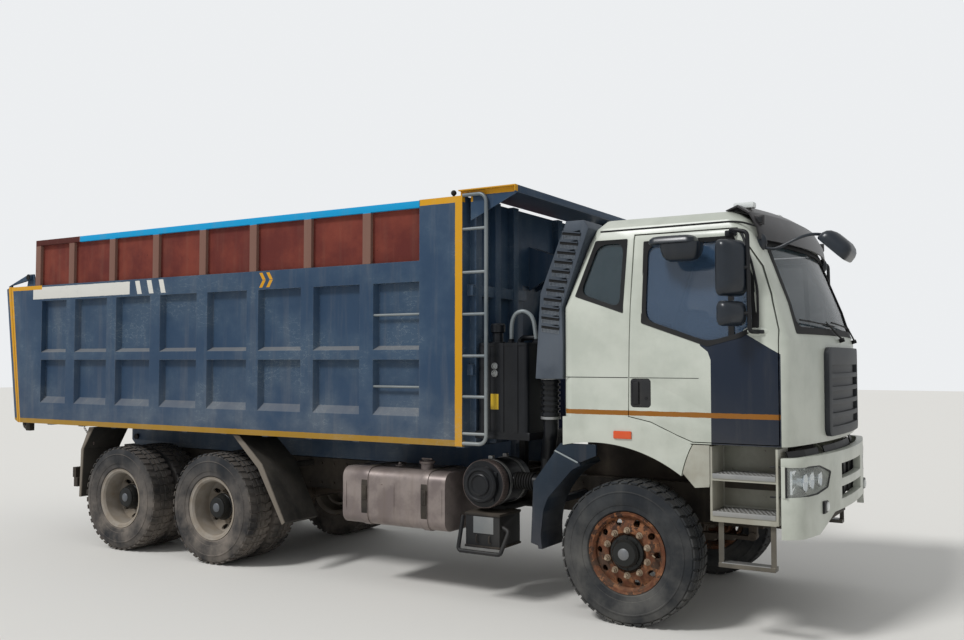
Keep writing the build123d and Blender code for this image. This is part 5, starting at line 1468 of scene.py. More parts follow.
@dataclass
class AirCleanerTrim(SubAssembly):
    """Stepped end cover, ribbed rim, clamps, ribbed elbow and the bellows' clamps."""

    station: float = -1.265
    height: float = 0.965
    face: float = -1.12
    ribs: int = 56

    def build(self) -> None:
        """Make the air cleaner's trim."""
        centre = Vector((self.station, self.face, self.height))
        cover, rim, rib, bands, elbow, fold = Shape(), Shape(), Shape(), Shape(), Shape(), Shape()
        cover.turned(((-0.006, 0.152), (0.046, 0.15), (0.06, 0.138), (0.064, 0.12), (0.058, 0.112),
                      (0.05, 0.109), (0.05, 0.092), (0.06, 0.088), (0.064, 0.08), (0.058, 0.074),
                      (0.052, 0.07), (0.052, POLE)), centre, Axis.Y, 56, facing=-1)
        for turn in (0.6, 2.2, 3.9, 5.4):
            start = centre + Vector((math.cos(turn) * 0.15, 0.03, math.sin(turn) * 0.15))
            cover.box(start + Vector((-0.018, -0.05, -0.018)), start + Vector((0.018, 0.02, 0.018)), 0.006)
        self.shop.piece("air_cleaner_cover", cover, Slot.TANK, "tank")
        middle = (self.station, self.face + 0.045, self.height)
        rib.boxes((-0.006, 0.006, -0.034, 0.034, 0.186, 0.1995, 0.002))
        rim.take(self.shop.repeats.ring(rib, self.ribs, middle, Axis.Y))
        rim.turned(((-0.044, 0.15), (-0.044, 0.194), (-0.036, 0.1965), (0.036, 0.1965), (0.044, 0.194),
                    (0.044, 0.15)), middle, Axis.Y, 56, looped=True)
        self.shop.piece("air_cleaner_rim", rim, Slot.CAST, "dusty_steel")
        for y in (-0.98, -0.74):
            bands.turned(((-0.016, 0.18), (-0.016, 0.1945), (0.016, 0.1945), (0.016, 0.18)),
                         (self.station, y, self.height), Axis.Y, 56, looped=True)
            bands.boxes((self.station - 0.02, self.station + 0.02, y - 0.02, y + 0.02, self.height + 0.19,
                         self.height + 0.222, 0.004))
        for low, high in ((1.512, 1.532), (1.826, 1.846)):
            bands.turned(((low, 0.05), (low, 0.0795), (high, 0.0795), (high, 0.05)), (-0.67, -1.06, 0.0),
                         Axis.Z, 40, looped=True)
        self.shop.piece("air_duct_clamps", bands, Slot.ROD, "bare_steel")
        fold.turned(((-0.011, 0.055), (-0.007, 0.07), (0.0, 0.074), (0.007, 0.07), (0.011, 0.055)), (0, 0, 0),
                    Axis.X, 32, looped=True)
        elbow.take(self.shop.repeats.row(fold, 7, (-1.055, -0.9, 0.985), (0.024, 0, 0)))
        self.shop.piece("ribbed_duct_elbow", elbow, Slot.BLACK, "rubber")


@dataclass
class BatteryTrim(SubAssembly):
    """Blank grey plate, lid and hooks on the battery box, and the worn plates beside the ladder."""

    face: float = -1.15

    def build(self) -> None:
        """Make the plates and the lid."""
        plate, lid, worn, y = Shape(), Shape(), Shape(), self.face
        plate.boxes((-1.335, -1.145, y - 0.006, y + 0.002, 0.57, 0.705, 0.002))
        self.shop.piece("battery_grey_plate", plate, Slot.CAST, "grey_plate")
        lid.boxes((-1.418, -1.082, y - 0.01, -0.8, 0.712, 0.735, 0.008),
                  (-1.418, -1.082, y - 0.01, -0.8, 0.452, 0.47, 0.006))
        for x in (-1.3, -1.18):
            lid.tube([(x, y - 0.006, 0.555), (x, y - 0.018, 0.545), (x, y - 0.018, 0.5),
                      (x + 0.012, y - 0.006, 0.492)], 0.005, 0.01, 8)
        self.shop.piece("battery_lid", lid, Slot.BLACK, "chassis")
        worn.boxes((-1.478, -1.388, -1.112, -1.09, 1.745, 1.975, 0.006),
                   (-1.386, -1.378, -1.108, -0.98, 1.715, 1.955, 0.002))
        self.shop.piece("worn_red_plate", worn, Slot.BOARDS, "red_plate", Body.BED)


@dataclass
class SnorkelTrim(SubAssembly):
    """Louvre blades, a black slab under each one painted as the shadow of its hood, and a strip of mesh in
    each recess of the snorkel.
    """

    outer: float = -1.225
    first_level: float = 2.23
    pitch: float = 0.072
    bend_level: float = 2.385
    foot: float = -0.588
    lean: float = 0.33
    straight_count: int = 3
    leaning_count: int = 8

    def build(self) -> None:
        """Make both runs of louvres."""
        for name, part, slot, finish in (("louvres", self.louvre, Slot.SNORKEL, "snorkel"),
                                         # Shades: black slabs painted as the shadows under the blades
                                         ("shades", self.shade, Slot.BLACK, "rubber"),
                                         ("mesh", self.mesh_strip, Slot.BLACK, "mesh")):
            shape = Shape()
            level = self.first_level + self.straight_count * self.pitch
            station = self.foot + (level - self.bend_level) * self.lean
            for count, x, z, step in ((self.straight_count, self.foot, self.first_level, 0.0),
                                      (self.leaning_count, station, level, self.pitch * self.lean)):
                shape.take(self.shop.repeats.row(part(), count, (x, self.outer, z), (step, 0.0, self.pitch)))
            self.shop.piece(f"snorkel_{name}", shape, slot, finish, self.shop.carriers["snorkel"])

    @staticmethod
    def louvre() -> Shape:
        """One hooded blade over its recess, leaning like the recess."""
        blade = Shape()
        blade.slab([(-0.078, 0.0, 0.026), (0.078, 0.0, 0.004), (0.078, -0.012, 0.0), (-0.078, -0.012, 0.022)],
                   0.006, (0.1, -0.2, 1.0))
        return blade

    @staticmethod
    def shade() -> Shape:
        """A black slab right under a blade, painted as the shadow that the blade's hood casts into the open
        recess.
        """
        shadow_slab = Shape()
        shadow_slab.slab([(-0.076, -0.0035, 0.0216), (0.076, -0.0035, 0.0004), (0.076, -0.0035, -0.0196),
                   (-0.076, -0.0035, 0.0016)], 0.004, (0, 1, 0))
        return shadow_slab

    @staticmethod
    def mesh_strip() -> Shape:
        """A strip of fine upright slats and three wires in and below one recess."""
        strip = Shape()
        for x in (-0.072 + place * 0.012 for place in range(13)):
            drop = -0.14 * x
            strip.boxes((x - 0.0022, x + 0.0022, -0.0025, 0.01, -0.04 + drop, 0.014 + drop, 0))
        for z in (-0.036, -0.026, -0.016):
            high, low = z + 0.0104, z - 0.0104
            strip.slab([(-0.074, -0.003, high), (0.074, -0.003, low), (0.074, 0.004, low),
                        (-0.074, 0.004, high)], 0.003, UP)
        return strip


@dataclass
class StepTreads(SubAssembly):
    """Metal treads with studs and bright lips in the step boxes, and the boxes' worn backs."""

    rear: float = 0.69
    front: float = 1.128
    inner: float = 0.97
    outer: float = 1.225
    levels: Point = (1.1775, 0.915)
    stud_rows: int = 7
    studs: int = 13

    def build(self) -> None:
        """Make both sides' steps."""
        for side in reversed(Side):
            self.treads(side)
            self.backs(side)

    def treads(self, side: Side) -> None:
        """Make one side's treads.

        Args:
            side: The side.
        """
        tread, y, sign = Shape(), self.outer, side.value
        for z in self.levels:
            tread.boxes((self.rear, self.front, self.inner, y + 0.004, z - 0.001, z + 0.004, 0.001),
                        (self.rear, self.front, y - 0.004, y + 0.007, z - 0.028, z + 0.006, 0.003), side=sign)
            for row in range(self.stud_rows):
                stud = Shape()
                stud.rod((0, 0, 0), (0, 0, 0.0045), 0.008, 8, tip=0.005)
                start = (self.rear + 0.03 + 0.015 * (row % 2), sign * (y - 0.028 - row * 0.034), z + 0.0035)
                tread.take(self.shop.repeats.row(stud, self.studs, start, (0.031, 0, 0)))
        tread.boxes((0.745, 1.085, y - 0.105, y - 0.015, 0.559, 0.565, 0.002), side=sign)
        self.shop.piece(f"step_treads_{side.label}", tread, Slot.CAST, "bare_steel")

    def backs(self, side: Side) -> None:
        """Make the chipped plates behind one side's treads, and a dark plate between them painted as the
        shade under the upper tread.

        Args:
            side: The side.
        """
        plates, shade_plate = Shape(), Shape()
        plates.boxes((0.7, 1.12, 0.9665, 0.972, 0.93, 1.055, 0.002),
                     (0.7, 1.12, 0.9665, 0.972, 1.185, 1.365, 0.002), side=side.value)
        self.shop.piece(f"step_risers_{side.label}", plates, Slot.CHASSIS, "riser")
        # A dark plate painted as the shade in the gap below the upper tread
        shade_plate.boxes((0.7, 1.12, 0.9665, 0.972, 1.055, 1.145, 0.002), side=side.value)
        self.shop.piece(f"step_shadow_gap_{side.label}", shade_plate, Slot.CHASSIS, "chassis")


@dataclass
class FrontTrim(SubAssembly):
    """Headlamps' bowls and bezels, fog lamps, grille ribs, visor vents and the dark panel over the bumper."""

    bumper_nose: float = 1.415
    crown: float = 5.2
    half: float = 1.236
    end_radius: float = 0.19
    lamp_low: float = 1.045
    lamp_high: float = 1.25
    lamp_side: float = 1.2235
    lamp_rear: float = 1.199
    fog_y: float = 0.74
    rib_pitch: float = 0.03
    # Station, y and radius of each bowl in a headlamp
    bowls: Outline = ((1.262, 1.075, 0.058), (1.272, 0.925, 0.062), (1.3, 0.79, 0.05))
    # Ends in y of each part of the closing panel, with slots that the cab's arms tilt through
    panel: Outline = ((-1.1, -0.86), (-0.86, -0.61), (-0.48, -0.16), (-0.16, 0.16), (0.16, 0.48),
                      (0.61, 0.86), (0.86, 1.1))

    def build(self) -> None:
        """Make all of the front's trim."""
        self.headlamp_bowls()
        self.bumper_details()
        self.uprights()
        self.fog_lamps()
        self.grille_ribs()
        self.visor_vents()

    def nose(self, y: float, back: float = 0.0) -> float:
        """Find the bumper's skin, with its rounded ends.

        Args:
            y: Place across.
            back: How far behind the skin.

        Returns:
            The station there.
        """
        corner = self.end_radius - back
        straight = self.half - self.end_radius
        bow = self.crown - math.sqrt(self.crown ** 2 - min(abs(y), straight) ** 2)
        reach = min(1.0, max(0.0, (abs(y) - straight) / corner))
        return self.bumper_nose - back - bow - corner * (1 - math.sqrt(1 - reach ** 2)) - 0.03 * reach

    def headlamp_bowls(self) -> None:
        """Reflector bowls with their bulbs, and the bright plate behind them."""
        bright, bulbs = Shape(), Shape()
        for side in SIDES:
            for x, y, radius in self.bowls:
                bright.turned(((0.03, radius), (0.034, radius + 0.004), (0.028, radius + 0.006),
                               (-0.034, 0.02), (-0.04, POLE), (-0.03, POLE), (-0.022, radius * 0.45),
                               (0.004, radius * 0.82)), (x, side * y, 1.14), Axis.X, 32, looped=True)
                bulbs.ball((x - 0.004, side * y, 1.14), radius * 0.34)
            bright.boxes((1.205, 1.232, 0.79, 1.19, 1.062, 1.225, 0.006), side=side)
        self.shop.piece("lamp_reflectors", bright, Slot.ROD, "mirror")
        self.shop.piece("lamp_bulbs", bulbs, Slot.LENS, "white_lens")

    def bezel(self, dark: Shape, side: int) -> None:
        """Add a headlamp's bezel, which follows the bumper's skin, and its upright at the side.

        Args:
            dark: The shape that gets it.
            side: Minus one on the right, one on the left.
        """
        low, high, end = self.lamp_low, self.lamp_high, self.half
        corners = ((end, high), (0.86, high - 0.012), (0.64, high - 0.07), (0.7, low + 0.03), (0.9, low),
                   (end, low))
        route = []
        for (y0, z0), (y1, z1) in zip(corners, corners[1:]):
            steps = 10 if max(y0, y1) > 1.0 else 4
            route += [(y0 + (y1 - y0) * step / steps, z0 + (z1 - z0) * step / steps) for step in range(steps)]
        dark.tube([(self.nose(y, 0.005), side * min(y, self.lamp_side), z) for y, z in route + [(end, low)]],
                  0.0065, 0.012, 8)
        dark.tube(sided(side, (self.lamp_rear, self.lamp_side, low), (self.lamp_rear, self.lamp_side, high)),
                  0.0065, 0.01, 8)

    def bumper_details(self) -> None:
        """Bezels, fog lamp housings, the bars and panel behind the bumper's slots, and the closing panel."""
        dark, nose = Shape(), self.nose(self.fog_y)
        for side in SIDES:
            self.bezel(dark, side)
            dark.boxes((nose - 0.05, nose + 0.006, 0.66, 0.82, 0.895, 0.985, 0.012), side=side)
        for y in (-0.38, -0.19, 0.0, 0.19, 0.38):
            dark.boxes((1.33, 1.345, y - 0.008, y + 0.008, 0.945, 1.225, 0.002))
        dark.boxes((1.315, 1.33, -0.42, 0.42, 0.94, 1.23, 0.004))
        for y0, y1 in self.panel:
            x0, x1 = self.nose(y0, 0.085), self.nose(y1, 0.085)
            dark.slab([(x0, y0, 1.285), (x1, y1, 1.285), (x1 - 0.02, y1, 1.345), (x0 - 0.02, y0, 1.345)],
                      0.012, (-1, 0, 0.1))
        self.shop.piece("bumper_black_parts", dark, Slot.BLACK, "black_plastic")

    def uprights(self) -> None:
        """Enamelled upright that closes the bumper behind each headlamp."""
        uprights = Shape()
        for side in SIDES:
            uprights.boxes((1.1655, self.lamp_rear - 0.007, 1.214, 1.2285, self.lamp_low - 0.004,
                            self.lamp_high + 0.004, 0.002), side=side)
        self.shop.piece("lamp_uprights", uprights, Slot.CAB, "cab_plain")

    def fog_lamps(self) -> None:
        """Domed lenses of the two fog lamps."""
        fogs = Shape()
        for side in SIDES:
            fogs.turned(((0.0, 0.034), (0.01, 0.033), (0.016, 0.024), (0.018, POLE)),
                        (self.nose(self.fog_y) + 0.004, side * self.fog_y, 0.94), Axis.X, 28)
        self.shop.piece("fog_lamps", fogs, Slot.LENS, "white_lens")

    def grille_ribs(self) -> None:
        """Fine upright ribs inside the grille's slots."""
        low, high = self.shop.box("front_grille")
        ribs, rib = Shape(), Shape()
        rib.boxes((-0.005, 0.004, -0.0035, 0.0035, low.z + 0.03, high.z - 0.03, 0.001))
        count = int((high.y - low.y - 0.08) / self.rib_pitch)
        start = (high.x - 0.05, -self.rib_pitch * (count - 1) / 2, 0.0)
        ribs.take(self.shop.repeats.row(rib, count, start, (0.0, self.rib_pitch, 0.0)))
        self.shop.piece("grille_ribs", ribs, Slot.BLACK, "rubber", Body.CAB)

    def visor_vents(self) -> None:
        """Framed vents at both ends of the sun visor."""
        dark, pale = Shape(), Shape()
        for side in SIDES:
            pale.boxes((0.94, 1.02, 0.988, 1.012, 2.95, 3.02, 0.006), side=side)
            dark.boxes((0.955, 1.005, 0.984, 1.016, 2.963, 3.007, 0.004), side=side)
        self.shop.piece("visor_vent_frames", pale, Slot.SNORKEL, "visor", Body.CAB)
        self.shop.piece("visor_vents", dark, Slot.BLACK, "gloss_black", Body.CAB)


@dataclass
class BedTrim(SubAssembly):
    """Tailgate hinge bolts, the front post's knob, tail latches and the guard's chain."""

    hinge_station: float = -7.25
    hinge_height: float = 2.925
    chain_links: int = 9

    def build(self) -> None:
        """Make the bed's small parts."""
        bolts, latch, chain, link = Shape(), Shape(), Shape(), Shape()
        x, z = self.hinge_station, self.hinge_height
        for side in SIDES:
            bolts.rod(*sided(side, (x, 1.243, z), (x, 1.252, z)), 0.034, 6)
            bolts.rod(*sided(side, (x, 1.195, z), (x, 1.238, z)), 0.03, 20)
            latch.tube(sided(side, (-7.4, 1.1, 1.2), (-7.47, 1.1, 1.2), (-7.5, 1.1, 1.26),
                             (-7.455, 1.1, 1.31)), 0.018, 0.03)
            latch.boxes((-7.42, -7.34, 1.07, 1.13, 1.17, 1.268, 0.006), side=side)
        knob = (-1.497, -1.205, 3.374)
        bolts.ball(knob, 0.024)
        bolts.rod((-1.497, -1.205, 3.329), knob, 0.01, 10)
        self.shop.piece("bed_bolts", bolts, Slot.BLACK, "chassis", Body.BED)
        self.shop.piece("tail_latches", latch, Slot.CHASSIS, "chassis", Body.BED)
        link.tube([(0.0, 0.0, 0.014), (0.008, 0.0, 0.01), (0.008, 0.0, -0.01), (0.0, 0.0, -0.014),
                   (-0.008, 0.0, -0.01), (-0.008, 0.0, 0.01), (0.0, 0.0, 0.014)], 0.003, 0.004, 6)
        chain.take(self.shop.repeats.row(link, self.chain_links, (-6.4, -1.1, 1.235), (0.02, 0.0, -0.02)))
        self.shop.piece("guard_chain", chain, Slot.CAST, "dusty_steel")


@dataclass
class ChassisTrim(SubAssembly):
    """Bolts on the rails, guard plates, brake chambers, tail lamps, spring bolts and the hoist's collar."""

    rail_half: float = 0.4325
    rail_rows: Point = (0.755, 0.945)
    rail_bolt_count: int = 44
    bolt_pitch: float = 0.16
    rear_axles: Point = (-4.09, -5.44)
    # Plate that carries each front guard up under the cab, in side view
    arch_plate: Outline = ((-0.562, 1.268), (-0.5, 1.342), (-0.205, 1.342), (-0.205, 1.258), (-0.345, 1.2))
    # Distance along and radius of a brake chamber
    chamber: Outline = ((-0.075, POLE), (-0.075, 0.058), (-0.066, 0.072), (-0.01, 0.08), (-0.004, 0.09),
                        (0.004, 0.09), (0.01, 0.08), (0.06, 0.076), (0.074, 0.06), (0.078, POLE))

    def build(self) -> None:
        """Make the chassis' small parts."""
        self.rail_bolts()
        for side in reversed(Side):
            self.guard_plate(side)
        self.brakes()
        self.tail_lamps()
        self.spring_bolts()
        collar = Shape()
        collar.turned(((2.56, 0.093), (2.56, 0.107), (2.686, 0.119), (2.7, 0.117), (2.7, 0.093)),
                      (-1.09, 0.0, 0.0), Axis.Z, 48, looped=True)
        self.shop.piece("hoist_collar", collar, Slot.ROD, "collar", Body.HOIST)

    def rail_bolts(self) -> None:
        """Rows of bolt heads along the outside of both rails."""
        bolts = Shape()
        for side in SIDES:
            for z in self.rail_rows:
                bolt = Shape()
                bolt.rod((0, side * -0.002, 0), (0, side * 0.012, 0), 0.013, 6)
                bolts.take(self.shop.repeats.row(bolt, self.rail_bolt_count,
                                                 (-6.45, side * self.rail_half, z), (self.bolt_pitch, 0, 0)))
        self.shop.piece("rail_bolts", bolts, Slot.CHASSIS, "chassis")

    def guard_plate(self, side: Side) -> None:
        """Make one front guard's plate, and a pale tube painted as the highlight on the guard's top edge.

        Args:
            side: The side.
        """
        plate, edge, sign = Shape(), Shape(), side.value
        plate.slab([(x, sign * 1.206, z) for x, z in self.arch_plate], 0.024, (0, sign, 0))
        self.shop.piece(f"arch_plate_{side.label}", plate, Slot.BLACK, "front_guard")
        # A pale tube painted as the highlight along the top edge of the guard's lip
        edge.tube(sided(sign, (-0.545, 1.238, 1.283), (-0.35, 1.238, 1.2)), 0.007, 0.01, 8)
        self.shop.piece(f"guard_edge_{side.label}", edge, Slot.BLACK, "grey_pipe")

    def brakes(self) -> None:
        """Spring brake chambers with their hoses inside every rear wheel."""
        chambers = Shape()
        for x in self.rear_axles:
            for side in SIDES:
                chambers.turned(self.chamber, (x, side * 0.52, 0.62), Axis.X, 28)
                chambers.tube(sided(side, (x - 0.06, 0.52, 0.62), (x - 0.15, 0.52, 0.6),
                                    (x - 0.19, 0.52, 0.54)), 0.014, 0.02, 8)
                chambers.tube(sided(side, (x + 0.04, 0.52, 0.68), (x + 0.05, 0.52, 0.78),
                                    (x + 0.02, 0.46, 0.88)), 0.009, 0.04, 8)
        self.shop.piece("brake_chambers", chambers, Slot.CAST, "cast")

    def tail_lamps(self) -> None:
        """Lenses of the rear lamp blocks: amber between two red ones."""
        red, amber = Shape(), Shape()
        for side in SIDES:
            for start, lens in ((0.815, red), (0.915, amber), (1.015, red)):
                lens.boxes((-6.566, -6.556, start, start + 0.09, 0.7, 0.79, 0.004), side=side)
        self.shop.piece("tail_lenses_red", red, Slot.LENS, "red_lens")
        self.shop.piece("tail_lenses_amber", amber, Slot.LENS, "amber_lens")

    def spring_bolts(self) -> None:
        """U-bolts over the front springs."""
        bolts = Shape()
        for x in (-0.09, 0.09):
            for y in (side * self.rail_half + offset for side in SIDES for offset in (-0.055, 0.055)):
                bolts.rod((x, y, 0.44), (x, y, 0.8), 0.01, 10)
                bolts.rod((x, y, 0.44), (x, y, 0.462), 0.019, 6)
        self.shop.piece("front_spring_bolts", bolts, Slot.CAST, "cast")


@dataclass
class NodeFinishes(SubAssembly):
    """Which finish each solid takes, and how much its edges are rounded."""

    # Solids that stay as they are, by finish
    kept: dict[str, tuple[str, ...]] = field(default_factory=lambda: {
        "interior": ("cab_interior",), "glass": ("cab_glass",),
        "door_glass": ("door_glass_left", "door_glass_right"),
        "cast": ("front_axle", "rear_axles", "leaf_springs", "engine_block", "drive_shafts", "knuckle_left",
                 "knuckle_right", "tie_rod"),
        "chassis": ("radiator", "frame_rails", "cross_members", "rear_lamps", "air_tanks"),
        "muffler": ("muffler",), "rod": ("hoist_stage_1", "hoist_stage_2", "hoist_stage_3"),
        "ladder": ("ladder",)})
    # Finish and bevel of each solid that gets rounded edges
    refined: dict[str, tuple[str, float]] = field(default_factory=lambda: {
        "cab_shell": ("cab", 0.006), "door_left": ("cab", 0.004), "door_right": ("cab", 0.004),
        "front_bumper": ("cab_plain", 0.008), "headlamps": ("lens", 0.004), "front_grille": ("grille", 0.004),
        "sun_visor": ("visor", 0.003), "snorkel": ("snorkel", 0.006), "bed_tub": ("bed", 0.003),
        "side_boards": ("boards", 0.003), "canopy": ("bed", 0.002), "tailgate": ("bed", 0.003),
        "fuel_tank": ("fuel_tank", 0.004), "oil_tank": ("tank", 0.004), "air_cleaner": ("tank", 0.003),
        "battery_box": ("black_plastic", 0.004), "entry_steps": ("steps", 0.003),
        "front_mudguards": ("front_guard", 0.004), "rear_mudguards": ("guard", 0.003),
        "hoist_tube": ("hoist", 0.003),
        **{f"rim_{place}_{side.label}": ("front_rim" if place == "front" else "rear_rim", 0.002)
           for place, side in WHEELS}})

    def build(self) -> None:
        """Dress every solid that is kept or refined."""
        for finish, nodes in self.kept.items():
            for node in nodes:
                materials = self.shop.frame["nodes"][node].data.materials
                materials.clear()
                materials.append(self.shop.finishes[finish])
        for node, (finish, bevel) in self.refined.items():
            self.shop.refine(node, finish, bevel)


def paint_plan(front_axle: float) -> dict[str, tuple[Patch, ...]]:
    """Lay out the painted areas of the cab, bed, boards, steps and guards.

    Args:
        front_axle: Frame x of the front axle, where stations start.

    Returns:
        Patches by the finish that has them.
    """
    def patch(colour: str, points: Outline, inner: float, wear: float) -> Patch:
        """A patch whose outline is given in stations, from a half width outwards."""
        return Patch(colour, [(front_axle + x, z) for x, z in points], (inner, 1.3), wear)

    def strip(colour: str, x0: float, x1: float, z0: float, z1: float, inner: float) -> Patch:
        """An upright rectangle of worn paint."""
        return patch(colour, ((x0, z0), (x1, z0), (x1, z1), (x0, z1)), inner, 0.01)

    yellow, sill, cyan, navy, pale = "c58f16", "98731a", "1692c6", "07172a", "c9c8c2"
    low, high = 2.662, 2.806
    panels = (((0.687, 1.38), (0.687, 2.12), (0.91, 2.18), (1.17, 2.02), (1.17, 1.38)),
              ((0.689, 1.975), (0.666, 2.04), (0.65, 2.13), (0.689, 2.13)),
              ((0.667, 2.038), (0.612, 2.082), (0.6, 2.13), (0.667, 2.13)))
    cab = [patch(navy, panel, 1.1, 0.001) for panel in panels]
    cab.append(strip("865200", -0.468, 1.17, 1.566, 1.612, 1.1))
    slants = [patch(pale, ((x + 0.04, low), (x + 0.115, low), (x + 0.075, high), (x, high)), 1.242, 0.006)
              for x in (-5.42, -5.24, -5.06)]
    chevrons = [patch(yellow, ((x, z), (x + 0.045, z), (x + 0.09, 2.734), (x + 0.045, 2.734)), 1.242, 0.004)
                for x in (-3.66, -3.57) for z in (low, high)]
    bed = [strip(pale, -7.15, -5.494, low, high, 1.242), *slants, *chevrons,
           strip(sill, -7.6, -1.3, 1.262, 1.33, 1.2), strip(yellow, -1.46, -1.38, 1.27, 3.4, 1.242),
           strip(yellow, -1.815, -1.3, 3.28, 3.4, 1.2), strip(yellow, -1.4, -0.86, 3.33, 3.4, 1.2),
           strip(yellow, -7.6, -6.98, 2.77, 2.83, 1.242),
           patch(yellow, ((-7.4, 1.27), (-7.335, 1.27), (-7.525, 2.83), (-7.62, 2.83)), 1.2, 0.01)]
    boards = (strip("785a50", -7.2, -1.8, 2.8, 3.4, 1.2115), strip(cyan, -6.335, -1.8, 3.262, 3.4, 1.2115),
              strip("4c2622", -7.2, -6.335, 3.262, 3.4, 1.2115))
    return {"cab": tuple(cab), "bed": tuple(bed), "boards": boards,
            "steps": (strip("34322f", 0.6, 1.2, 0.45, 0.852, 0.9),),
            "guards": (strip("6f685f", -6.45, -3.25, 0.4, 1.3, 1.174),)}


def painted_finishes(plan: dict[str, tuple[Patch, ...]]) -> dict[str, WornFinish]:
    """Describe the painted and enamelled surfaces.

    Args:
        plan: Painted areas by finish.

    Returns:
        Finishes by a short key.
    """
    # Sprayed cab enamel: an even cream sheen, chalky with age, with a little road dust at the sills
    cab = WornFinish("cream_cab_enamel", "bcc0b6", "aeb3a9", dust="857d6d", dust_share=0.18, dust_low=0.9,
                     dust_high=1.9, rust_share=-0.2, edge="98978d", edge_share=0.2, roughness=0.3,
                     specular=0.4, patches=plan["cab"])
    # Brushed-on rim paint gone to rust: orange and brown blotches with dark scale, quite dull
    front_rim = WornFinish("rusting_orange_rim", "54301f", "8a5836", dust="7a6a59", dust_share=0.28,
                           dust_high=1.2, rust="2c1712", rust_share=0.24, edge="4a2c1f", edge_share=0.6,
                           specular=0.2, roughness=0.65, fade_size=0.1, streaks=0.2)
    # Sprayed wheel paint under baked-on quarry dust: a flat beige
    rear_rim = WornFinish("dusty_beige_rim", "8d877f", "787169", dust="978a78", dust_share=0.45,
                          dust_high=1.5, rust_share=0.05, roughness=0.75, fade_size=0.15)
    # Sprayed chassis paint: near black and dull, browned by dust wherever it faces up
    chassis = WornFinish("dusty_chassis_paint", "131315", "1d1b1a", dust="7f7466", dust_share=0.3,
                         edge="453b34", roughness=0.6, specular=0.2)
    return {
        "cab": cab, "front_rim": front_rim, "rear_rim": rear_rim, "chassis": chassis,
        # The same enamel without its painted panels
        "cab_plain": replace(cab, name="cream_enamel_plain", patches=()),
        # The same enamel where boots and mud reach it: greyer and flatter
        "steps": cab.toned("cream_step_enamel", "a9aa9f", "949388", patches=plan["steps"], dust_share=0.45),
        # The same enamel chipped through by boots: grey, with dark spots
        "riser": cab.toned("chipped_riser_enamel", "8f9186", "6f7069", patches=(), dust_share=0.5,
                           rust="2f2a26", rust_share=0.1),
        # Roller-painted plate steel, scoured by stone and streaked by rain, with every upward face, ledges
        # included, made much paler
        "bed": WornFinish("slate_plate_paint", "2b4058", "3b4e62", dust="a39b8c", dust_share=0.13,
                          dust_low=1.2, dust_high=2.0, rust_share=0.0, edge="87898a", edge_share=0.5,
                          edge_radius=0.01, streaks=0.55, specular=0.2, ledge_dust=2.6, scratches=0.5,
                          scratch_colour="8c979d", patches=plan["bed"]),
        # Thin red oxide paint on rusting sheet: brick red, chalky, with long rust streaks
        "boards": WornFinish("rusting_board_paint", "612d29", "7a3c31", dust="8f7a68", dust_share=0.1,
                             rust="40211a", rust_share=0.07, edge="66473d", edge_share=0.15, roughness=0.75,
                             streaks=0.9, specular=0.15, patches=plan["boards"]),
        # Bare nuts on each rim, paler than its paint under their own dust
        "front_nut": front_rim.toned("dusty_wheel_nut_steel", "847462", "a2937f", rust_share=0.05),
        "rear_nut": rear_rim.toned("dusty_wheel_nut", "5d564e", "756c61"),
        # Hub paint wetted by grease: black with a tight sheen
        "hub": WornFinish("greasy_hub_paint", "090c0e", "101415", dust="5f574c", dust_share=0.06,
                          roughness=0.38, edge="2e3436", edge_share=0.25),
        # Pressed steel cap, scuffed to a soft grey gleam
        "hub_cap": WornFinish("scuffed_hub_cap", "4a525c", "5d646d", roughness=0.4, metallic=0.3),
        # Satin stove enamel on pressed steel: deep black with a broad highlight
        "tank": WornFinish("satin_black_tank", "0a0d12", "10141a", dust="6f6a62", dust_share=0.07,
                           roughness=0.34, edge="33363a", edge_share=0.25, specular=0.28),
        # Two-part enamels of the hoist: a hard wet gloss
        "hoist": WornFinish("navy_hoist_enamel", "17264c", "20305e", dust_share=0.15, roughness=0.3,
                            coat=0.3),
        "collar": WornFinish("pale_yellow_enamel", "d9c77f", "cdbb74", dust_share=0.2, roughness=0.35,
                             coat=0.2),
        # Printed film and a worn painted plate, both flat
        "yellow_label": WornFinish("yellow_label_film", "c3a11f", "b4951c", dust_share=0.1, rust_share=-0.3,
                                   roughness=0.4),
        "red_plate": WornFinish("weathered_red_plate", "6f5049", "86645a", dust_share=0.3, roughness=0.6),
    }


